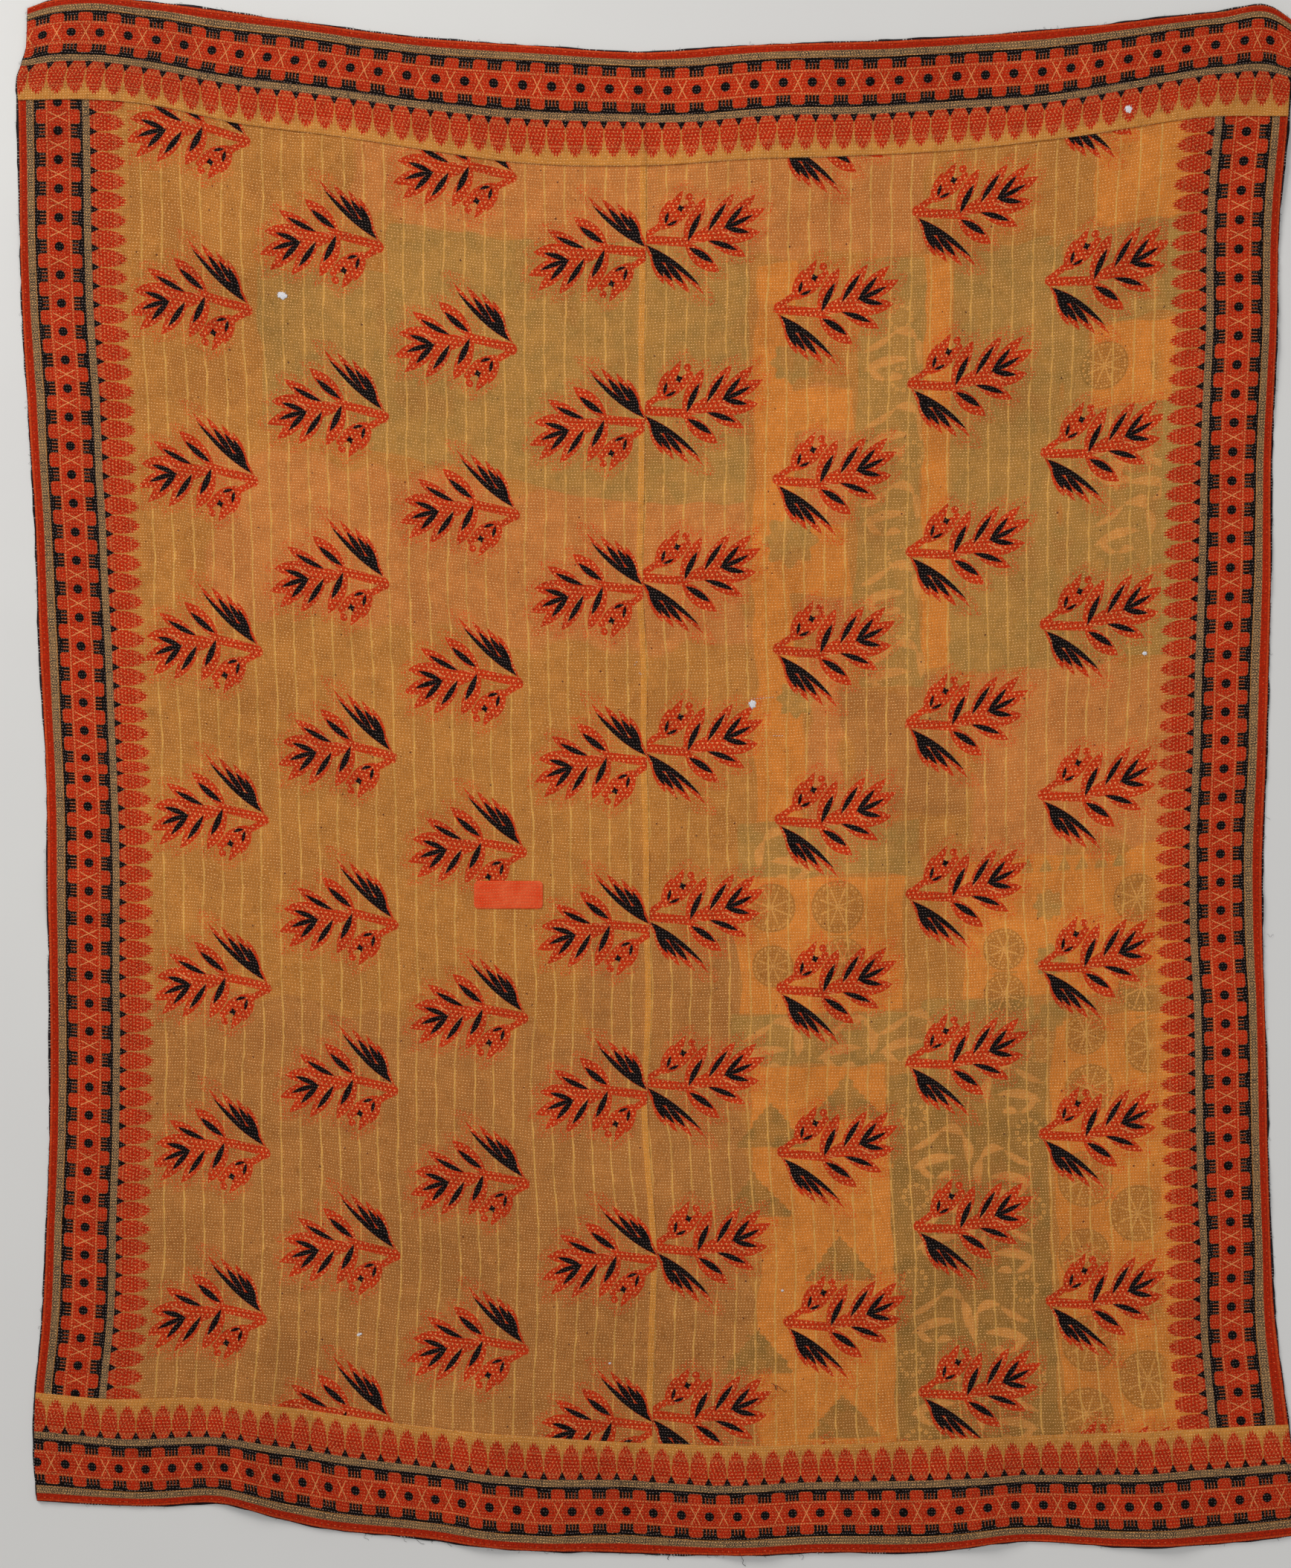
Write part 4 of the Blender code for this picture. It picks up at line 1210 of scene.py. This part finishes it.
def shape_depth(a, b, corners):
    """How far inside a shape with straight sides a place is, in mm: the distance to the nearest side, with
    its sign from whether a ray to the right crosses an odd number of sides."""
    nearest = np.full(a.shape, 1e6)
    crossed = np.zeros(a.shape, dtype=bool)
    for (x0, y0), (x1, y1) in zip(corners, [*corners[1:], corners[0]]):
        length = (x1 - x0) ** 2 + (y1 - y0) ** 2
        share = np.clip(((a - x0) * (x1 - x0) + (b - y0) * (y1 - y0)) / length, 0, 1)
        away = np.hypot(a - x0 - share * (x1 - x0), b - y0 - share * (y1 - y0))
        nearest = np.minimum(nearest, away)
        if y0 != y1:
            at = x0 + (b - y0) / (y1 - y0) * (x1 - x0)
            crossed ^= ((b < y0) != (b < y1)) & (a < at)
    return np.where(crossed, nearest, -nearest)


def stroke_depth(a, b, base, tip, half, bend):
    """The same leaf as the sprig's, as a depth in mm."""
    run, rise = tip[0] - base[0], tip[1] - base[1]
    length = np.hypot(run, rise)
    u = ((a - base[0]) * run + (b - base[1]) * rise) / length**2
    v = ((b - base[1]) * run - (a - base[0]) * rise) / length
    swell = u * (1 - u)
    return np.clip(4 * half * swell - np.abs(v - 4 * bend * swell), -30, 30)


def as_tint(depth):
    """A depth in mm as a share: 0.5 at the edge, 1 from 10 mm inside."""
    return np.clip(0.5 + depth / 20, 0, 1)


# The old cloths that show through the face, in mm from the seam and from the foot.
OLIVE_FLAG = (
    ((-375, 1925), (150, 1925), (150, 1540), (0, 1540), (-100, 1555), (-200, 1570))
    + ((-370, 1585), (-560, 1600), (-560, 1830), (-375, 1850))
)
OLIVE_BOXES = (  # left, right, low, high
    (305, 400, 1260, 1885), (440, 600, 1275, 1895), (440, 780, 1275, 1400), (600, 640, 1400, 1900),
    (640, 780, 1400, 1640), (640, 780, 1765, 1900), (130, 400, 990, 1070), (120, 400, 715, 790),
    (350, 582, 150, 700), (400, 562, 690, 800),
)
ORANGE_BOXES = (
    (157, 215, 1060, 1885), (157, 300, 1640, 1700), (157, 300, 1400, 1500), (157, 232, 1060, 1245),
    (398, 442, 1290, 1890), (640, 780, 1900, 2045), (640, 760, 1640, 1760), (650, 760, 1408, 1422),
    (130, 375, 790, 990), (590, 780, 150, 765), (460, 780, 800, 1000), (150, 350, 150, 715),
)
ROSE_BOXES = (
    (-420, 20, 1925, 2045), (20, 400, 1895, 2045), (228, 292, 1060, 1700), (480, 770, 1005, 1278),
    (-640, 150, 1330, 1560),
)
BROWN_BOXES = ((290, 465, 1070, 1268), (-100, 140, 150, 900), (-790, -60, 140, 760))
STEPPED_TIPS = ((290, 700), (180, 662), (150, 560), (270, 466), (150, 332), (272, 236))
SMALL_TIPS = tuple((505 + 27 * k, 1000) for k in range(8))
ROSETTES = ((212, 1740, 33), (212, 1480, 42), (218, 1250, 30), (590, 930, 24), (590, 850, 26), (590, 770, 24))
FIGURE_CELL = 1.22  # how far a round figure's part of the map reaches, as a share of its radius
# Round figures, each kind's by across, along and radius: 1 is a ring of beads and 2 a wheel.
ROUNDS = {
    1: (
        ((388, 635, 20), (385, 518, 20), (378, 395, 20), (372, 275, 20), (378, 160, 20), (572, 722, 20))
        + ((556, 602, 20), (556, 490, 20), (542, 375, 20), (546, 246, 20), (370, 1710, 19), (386, 1600, 19))
        + ((370, 1450, 19), (372, 1350, 19), (366, 1800, 19))
    ),
    2: (
        ((640, 740, 30), (736, 715, 38), (646, 660, 35), (636, 530, 40), (711, 476, 40), (630, 420, 38))
        + ((730, 360, 38), (632, 292, 40), (712, 236, 42), (620, 190, 38), (660, 1702, 34), (752, 1690, 25))
        + ((180, 945, 35), (278, 945, 38), (180, 860, 30), (284, 868, 32), (522, 870, 30), (520, 805, 30))
        + ((720, 930, 34), (724, 800, 34))
    ),
}
# Strokes of one scroll, from the middle of the ring of beads above it: base, tip, half width, bend.
SCROLL = (
    ((-8, -50), (40, -22), 5.0, -3), ((36, -22), (74, -34), 6.8, 8), ((70, -30), (76, -74), 7.0, 5),
    ((-6, -78), (64, -62), 7.0, 7), ((4, -64), (30, -92), 5.0, -6), ((30, -92), (56, -88), 5.6, 4),
)
SCROLLS_RIGHTWARD = ((388, 635), (385, 518), (378, 395), (372, 275), (318, 1800), (322, 1690), (318, 1575))
SCROLLS_RIGHTWARD += ((318, 1460), (322, 1345), (650, 1620), (655, 1520), (140, 800), (250, 800), (340, 805))
SCROLLS_LEFTWARD = ((572, 722), (556, 602), (556, 490), (542, 375), (546, 246), (760, 1590), (240, 1075))


def under_layers(a, b):
    """Where the old cloths under the face show through: depths inside the olive, orange, rose and brown
    areas, each as a share. The olive one is cut by the wavy sides of its strips."""
    sway = 4 * waves(a, b, (50.0, 130.0), 12, SEEDS["old_cloths"])
    olive = np.maximum(shape_depth(a, b, OLIVE_FLAG), box_depth(a, b, OLIVE_BOXES)) + sway
    for tips, deep in ((STEPPED_TIPS, 66), (SMALL_TIPS, 22)):
        for tip_a, tip_b in tips:
            fall = tip_b - b
            step = np.floor(fall / (deep / 7)) * (deep / 7) * 0.85 + 3
            aside = step - np.abs(a - tip_a) if deep > 30 else fall * 0.5 - np.abs(a - tip_a)
            olive = np.maximum(olive, np.minimum(aside, np.minimum(fall, deep - fall)))
    for middle_a, middle_b, radius in ROSETTES:
        turn = np.arctan2(b - middle_b, a - middle_a)
        petals = radius * (0.86 + 0.14 * np.cos(8 * turn)) - np.hypot(a - middle_a, b - middle_b)
        olive = np.maximum(olive, petals)
    orange = box_depth(a, b, ORANGE_BOXES) + sway
    rose, brown = (box_depth(a, b, boxes) + 3 * sway for boxes in (ROSE_BOXES, BROWN_BOXES))
    return as_tint(np.stack([olive, orange, rose, brown], axis=-1))


def round_figures(a, b):
    """The place from the middle of the nearest round figure, its radius and its kind."""
    found = np.zeros((*a.shape, 4))
    found[..., 0] = 999.0
    nearest = np.full(a.shape, FIGURE_CELL)
    for kind, figures_of_kind in ROUNDS.items():
        for middle_a, middle_b, radius in figures_of_kind:
            from_a, from_b = a - middle_a, b - middle_b
            away = np.hypot(from_a, from_b) / radius
            here = away < nearest
            found[here, 0], found[here, 1], found[here, 2:] = from_a[here], from_b[here], (radius, kind)
            nearest = np.where(here, away, nearest)
    return found


def scroll_depth(a, b):
    """How far inside the scrolls' strokes a place is, in mm."""
    depth = np.full(a.shape, -30.0)
    for middles, side in ((SCROLLS_RIGHTWARD, 1), (SCROLLS_LEFTWARD, -1)):
        for middle_a, middle_b in middles:
            x, y = side * (a - middle_a), b - middle_b
            near = (x > -20) & (x < 90) & (y > -105) & (y < 0)
            strokes = [stroke_depth(x[near], y[near], *stroke) for stroke in SCROLL]
            depth[near] = np.maximum(depth[near], np.maximum.reduce(strokes))
    return depth


# Where the cloth's tone rises or falls: place, reach and change. The middle of the right panel is lighter;
# the darkening at the two top corners is painted shade.
TONE_AND_SHADE_PATCHES = ((380, 1150, 600, 0.10), (-820, 2080, 420, -0.36), (800, 2100, 400, -0.14))


def ageing_and_shade(a, b):
    """Slow changes of tone over the cloth with painted shade in them (darker towards the foot and at the two
    top corners), painted shade smudges, the scrolls' depth, and one more for a single piece.
    """
    # painted shade: the random waves are uneven tone, and the cloth is made darker towards the foot over its
    # lowest 700 mm
    tone_and_shade = 0.62 + 0.10 * waves(a, b, (150.0, 600.0), 16, SEEDS["tone_and_shade"]) - 0.20 * np.clip(1 - b / 700, 0, 1)
    for middle_a, middle_b, reach, change in TONE_AND_SHADE_PATCHES:
        tone_and_shade += change * np.exp(-((a - middle_a) ** 2 + (b - middle_b) ** 2) / reach**2)
    # where the painted shade smudges fall, at random
    shade_smudge = np.clip(0.5 + 0.5 * waves(a, b, (60.0, 300.0), 14, SEEDS["shade_smudge"]), 0, 1)
    return np.stack([tone_and_shade, shade_smudge, as_tint(scroll_depth(a, b)), np.zeros_like(a)], axis=-1)


# ---------------------------------------------------------------- threads and worn places
def on_face(x, y, lift):
    """Points on the face at these places in the frame, in metres."""
    height = common_height(x + MIDDLE[0], y + MIDDLE[1]) + PANEL_TOP
    return np.stack([x, y, height + lift], axis=-1)


def fitting(name, points, faces, material, slot):
    """A piece of thread or filling, attached to the root like the cloths. The slot is not used."""
    piece = mesh_piece(name, points, faces, [material])
    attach(piece, "root")
    return piece


def sewn(name, a, b, lean, lift, radius, material, slot):
    """Short stitches at these flat places, in mm. Each rises as r (1 - s^2) from where it enters the cloth,
    with s from -1 to 1 along it, and is leaned by (along a, along b) mm over its length."""
    s = np.linspace(-1, 1, 5)
    flat_a = a[:, None] + lean[0] * s / 2
    flat_b = b[:, None] + lean[1] * s / 2
    across, along = place(flat_a / ALL_ACROSS, flat_b / ALL_ALONG)
    rise = lift + 0.9 * radius * (1 - s**2)
    paths = on_face(across - MIDDLE[0], along - MIDDLE[1], rise)
    thread = tubes(paths, np.broadcast_to(radius * (1 - 0.45 * s**2), flat_a.shape))
    return fitting(name, *thread, material, slot)


def hem_stitches(at_top, name, material):
    """Slanting stitches that hold a band's folded inner edge to the panels."""
    draw = np.random.default_rng(SEEDS["hems"] + at_top)
    a = np.arange(9 - ALL_ACROSS, ALL_ACROSS - 9, HEM_PITCH)
    a = a + draw.uniform(-0.8, 0.8, len(a))
    b = BAND_DEEP - 1.2 + draw.uniform(-0.3, 0.3, len(a))
    b = ALL_ALONG - b if at_top else b
    lift = BAND_THICK + CLEARANCE + HEM_RISE - 0.0003
    return sewn(name, a, b, (2.2, 1.8), lift, 0.00032, material, "border_cloth")


def seam_stitches(name, material):
    """The felling stitches along the seam."""
    draw = np.random.default_rng(SEEDS["seam"])
    b = np.arange(BAND_DEEP + 3, ALL_ALONG - BAND_DEEP - 3, SEAM_PITCH)
    b = b + draw.uniform(-0.7, 0.7, len(b))
    a = draw.uniform(-0.9, -0.4, len(b))
    return sewn(name, a, b, (2.0, 1.4), SEAM_RISE - 0.0002, 0.0003, material, "printed_panel")


def mending_stitches(name, material):
    """Two short rows of whiter thread near the middle of the right panel, and four stitches by the seam."""
    starts = [(141.8 + 4.4 * k, 113.1 + 0.4 * k) for k in range(7)]
    starts += [(170.0 + 4.1 * k, 59.0) for k in range(4)]
    starts += [(-31.0, 167.0), (-26.5, 151.0), (-24.0, 149.0), (-33.5, 163.0)]
    x, y = np.array(starts).T[..., None] * MM
    s = np.linspace(-1, 1, 5)
    paths = on_face(x + 0.0011 * s, y + 0.0002 * s, 0.0003 + 0.0003 * (1 - s**2))
    return fitting(name, *tubes(paths, np.full(paths.shape[:2], 0.00036)), material, "printed_panel")


# Threads that hang out of the edge: from x, y to x, y in mm, and thickness.
LOOSE_ENDS = (
    (126, -1139, 129, -1158, 0.62), (9, -1135, 16, -1149, 0.7), (-20, -1134, -15, -1142, 0.4),
    (-428, -1109, -424, -1121, 0.3), (-370, -1112, -368, -1123, 0.3), (-355, -1114, -342, -1126, 0.4),
    (-332, -1117, -330, -1125, 0.35), (-310, -1121, -302, -1130, 0.45), (150, -1136, 159, -1146, 0.4),
    (204, -1134, 211, -1149, 0.35), (219, -1135, 236, -1141, 0.45), (889, -60, 897, -64, 0.3),
    (893, -232, 903, -233, 0.25), (-893, 310, -903, 306, 0.3), (-905, 620, -914, 625, 0.3),
)


def frayed_edge(name, material):
    """The backing's frayed edge: short fibres all round, and the longer threads in the table. A thread is
    the straight way from end to end, bowed and curled by two sine waves that vanish at its ends."""
    draw = np.random.default_rng(SEEDS["fray"])
    count = 620
    way = draw.uniform(0, 4, count)
    side, share = np.floor(way), way % 1
    sign = np.where(side % 2 < 1, -1.0, 1.0)
    a = np.where(side < 2, (share * 2 - 1) * ALL_ACROSS, sign * ALL_ACROSS)
    b = np.where(side < 2, (sign + 1) / 2 * ALL_ALONG, share * ALL_ALONG)
    across, along = place(a / ALL_ACROSS, b / ALL_ALONG)
    out = np.stack([np.where(side < 2, 0, sign), np.where(side < 2, sign, 0)], axis=-1)
    start = np.stack([across - MIDDLE[0], along - MIDDLE[1]], axis=-1) + out * 0.0008
    slant = np.stack([out[:, 1], out[:, 0]], axis=-1) * draw.normal(0, 1.1, count)[:, None]
    reach = 0.0022 + 0.0042 * draw.uniform(0, 1, count) ** 3
    ends = start + (out + slant) / np.hypot(1, slant.sum(axis=-1))[:, None] * reach[:, None]
    table = np.array(LOOSE_ENDS) * MM
    start = np.concatenate([start, table[:, :2]])
    ends = np.concatenate([ends, table[:, 2:4]])
    thick = np.concatenate([draw.uniform(0.14, 0.3, count), np.array(LOOSE_ENDS)[:, 4]]) * MM / 2
    s = np.linspace(0, 1, 9)
    run = ends - start
    turned = np.stack([-run[:, 1], run[:, 0]], axis=-1)
    bow = draw.normal(0, 0.22, len(run))[:, None] * np.sin(np.pi * s)
    curl = draw.normal(0, 0.10, len(run))[:, None] * np.sin(3 * np.pi * s)
    flat = start[:, None] + run[:, None] * s[:, None] + turned[:, None] * (bow + curl)[..., None]
    height = 0.0009 - 0.0005 * s + common_height(start[:, :1] + MIDDLE[0], start[:, 1:] + MIDDLE[1]) * (1 - s)
    paths = np.concatenate([flat, height[..., None]], axis=-1)
    thread = tubes(paths, np.broadcast_to(thick[:, None], paths.shape[:2]), 4)
    return fitting(name, *thread, material, "dark_backing")


def stray_thread(name, material):
    """A curled dark thread that lies on the face near the foot band."""
    s = np.linspace(0, 1, 26)
    x = 0.166 + 0.020 * s + 0.004 * np.sin(9 * s)
    y = -0.893 - 0.006 * s + 0.004 * np.cos(11 * s)
    paths = on_face(x, y, 0.0006 + 0.0004 * np.sin(7 * s) ** 2)[None]
    return fitting(name, *tubes(paths, np.full(paths.shape[:2], 0.00028)), material, "dark_backing")


# Places where the face has worn through: flat place, size and turn, all in mm and degrees.
WORN = (
    (-527, 1795, 14, 12, 20), (154, 1243, 9, 14, 25), (680, 2067, 9, 13, -12), (724, 1280, 6, 6, 0),
    (-436, 284, 8, 4, 30), (185, 387, 3.5, 3, 0), (-65, 277, 3.5, 3, 0),
)


def worn_filling(name, material):
    """White cotton that shows where the face has worn through: low domes, each with a ragged rim
    1 + 0.20 (the sum of three sine waves) times its size and a top that falls as 1 - k^2 from its middle,
    and nine fibres round each."""
    a, b, wide, high, turn = np.array(WORN, dtype=float).T
    across, along = place(a / ALL_ACROSS, b / ALL_ALONG)
    x, y = across - MIDDLE[0], along - MIDDLE[1]
    base = on_face(x, y, 0.0)[:, 2] + (b > ALL_ALONG - BAND_DEEP) * (BAND_THICK + CLEARANCE)
    draw = np.random.default_rng(SEEDS["filling"])
    rings = np.array([1.0, 0.85, 0.62, 0.35, 0.12])[:, None]
    t = np.arange(22) * 2 * np.pi / 22
    phase = draw.uniform(0, 2 * np.pi, (len(a), 3, 1))
    ragged = 1 + 0.20 * sum(np.sin(n * t + phase[:, i]) / (1 + 0.4 * i) for i, n in enumerate((2, 5, 9)))
    out = rings * ragged[:, None]
    u = out * np.cos(t) * wide[:, None, None] / 2
    v = out * np.sin(t) * high[:, None, None] / 2
    lumps = draw.uniform(-0.00012, 0.00012, u.shape) * (rings < 0.9)
    z = base[:, None, None] + 0.0001 + 0.0007 * (1 - rings**2) + lumps
    cos, sin = np.cos(np.radians(turn))[:, None, None], np.sin(np.radians(turn))[:, None, None]
    px = x[:, None, None] + (u * cos - v * sin) * MM
    py = y[:, None, None] + (u * sin + v * cos) * MM
    points = np.stack([px, py, z], axis=-1).reshape(-1, 3)
    domes = ring_faces(np.arange(len(points)).reshape(u.shape))
    which = np.repeat(np.arange(len(a)), 9)
    angle = draw.uniform(0, 2 * np.pi, len(which))
    far = (wide + high)[which] / 4 * MM
    start = np.stack([x[which] + np.cos(angle) * far * 0.7, y[which] + np.sin(angle) * far * 0.7], axis=-1)
    step = np.stack([np.cos(angle + 0.8), np.sin(angle + 0.8)], axis=-1)
    step = step * (far * draw.uniform(0.3, 0.9, len(far)))[:, None]
    share = np.linspace(0, 1, 5)
    flat = start[:, None] + step[:, None] * share[:, None]
    level = (base[which] + 0.0005)[:, None] - 0.0002 * share
    paths = np.concatenate([flat, level[..., None]], axis=-1)
    fibres, more = tubes(paths, np.full(paths.shape[:2], 0.00016), 4)
    faces = domes + [part + len(points) for part in more]
    return fitting(name, np.concatenate([points, fibres]), faces, material, "printed_panel")


def stage_floor():
    """A plain pale floor, far larger than the quilt."""
    reach, level = 9.0, -0.0003
    mesh = bpy.data.meshes.new("floor")
    corners = [(x * reach, y * reach, level) for x, y in ((-1, -1), (1, -1), (1, 1), (-1, 1))]
    mesh.from_pydata(corners, [], [(0, 1, 2, 3)])
    material, net = new_cotton("pale_floor")
    spot = net.object_place()
    shader = net.tree.nodes["Principled BSDF"].inputs
    colour = net.dyed(dye(220, 219, 218), dye(225, 225, 223), net.noise(spot, 3.0, 3.0))
    net.feed(shader["Base Color"], colour)
    net.feed(shader["Roughness"], 0.72 + net.noise(spot, 60.0) * 0.2)
    mesh.materials.append(material)
    placed("floor", mesh)


CAMERA_UP = 4.5  # how far above the surface the camera is, in metres, and
SEEN_HEIGHT = 2.299  # how much of the surface it sees, foot to top


def lamp(name, at, size, power, tint):
    """A square soft light that looks at the middle of the quilt."""
    light = bpy.data.lights.new(name, "AREA")
    light.shape, light.size, light.energy, light.color = "SQUARE", size, power, tint
    thing = placed(name, light)
    thing.location = at
    thing.rotation_euler = (-thing.location).to_track_quat("-Z", "Y").to_euler()


def light_and_camera():
    """Soft light from the upper left with a wide fill, and a camera straight above."""
    world = bpy.data.worlds.new("soft_room")
    bpy.context.scene.world = world
    world.use_nodes = True
    sky = world.node_tree.nodes["Background"].inputs
    sky["Color"].default_value, sky["Strength"].default_value = (1.0, 0.985, 0.97, 1), 0.36
    lamp("window", (-3.4, 3.6, 3.0), 2.4, 210.0, (1.0, 0.98, 0.95))
    lamp("fill", (2.8, -1.0, 5.0), 3.2, 60.0, (0.96, 0.98, 1.0))
    camera = bpy.data.cameras.new("camera")
    camera.sensor_fit = "VERTICAL"
    camera.sensor_height = 24.0
    camera.lens = camera.sensor_height * CAMERA_UP / SEEN_HEIGHT
    viewer = placed("camera", camera)
    viewer.location = (-0.0179, -0.0117, CAMERA_UP)
    bpy.context.scene.camera = viewer
    bpy.context.scene.view_settings.view_transform = "Standard"


PALE_YARN = yarn("pale_sewing_thread", dye(206, 156, 96), dye(240, 196, 140))
WHITE_YARN = yarn("white_filling_cotton", dye(196, 194, 200), dye(244, 244, 248))
DARK_YARN = yarn("dark_backing_yarn", dye(16, 14, 18), dye(50, 46, 54))
SIDE = border_cotton("printed_sari_border")
LEFT, RIGHT = (
    [field_cotton(f"{group.name}_{side}", group, ghosts) for group in SPRIGS]
    + [field_cotton(f"sari_ground_{side}", None, ghosts), SIDE]
    for side, ghosts in (("left", False), ("right", True))
)

fray = frayed_edge("frayed_edge", DARK_YARN)
backing("backing_cloth", "backing", dark_cotton("dark_backing_cotton"))
left_extras = [seam_stitches("seam_stitches", PALE_YARN), worn_filling("worn_filling", WHITE_YARN)]
right_extras = [mending_stitches("mending_stitches", WHITE_YARN), stray_thread("stray_thread", DARK_YARN)]
panel(-1, "panel_left_cloth", "panel_left", LEFT)
panel(1, "panel_right_cloth", "panel_right", RIGHT)
for at_top, end, offset in ((False, "foot", 0.0), (True, "top", 0.2)):
    stitches = hem_stitches(at_top, f"hem_stitches_{end}", PALE_YARN)
    cloth = border_cotton(f"{end}_band_cotton", offset)
    band(at_top, f"band_{end}_cloth", f"band_{end}", cloth)
patch("patch_cloth", "patch", darned_cotton("darned_patch_cotton"))
stage_floor()
light_and_camera()
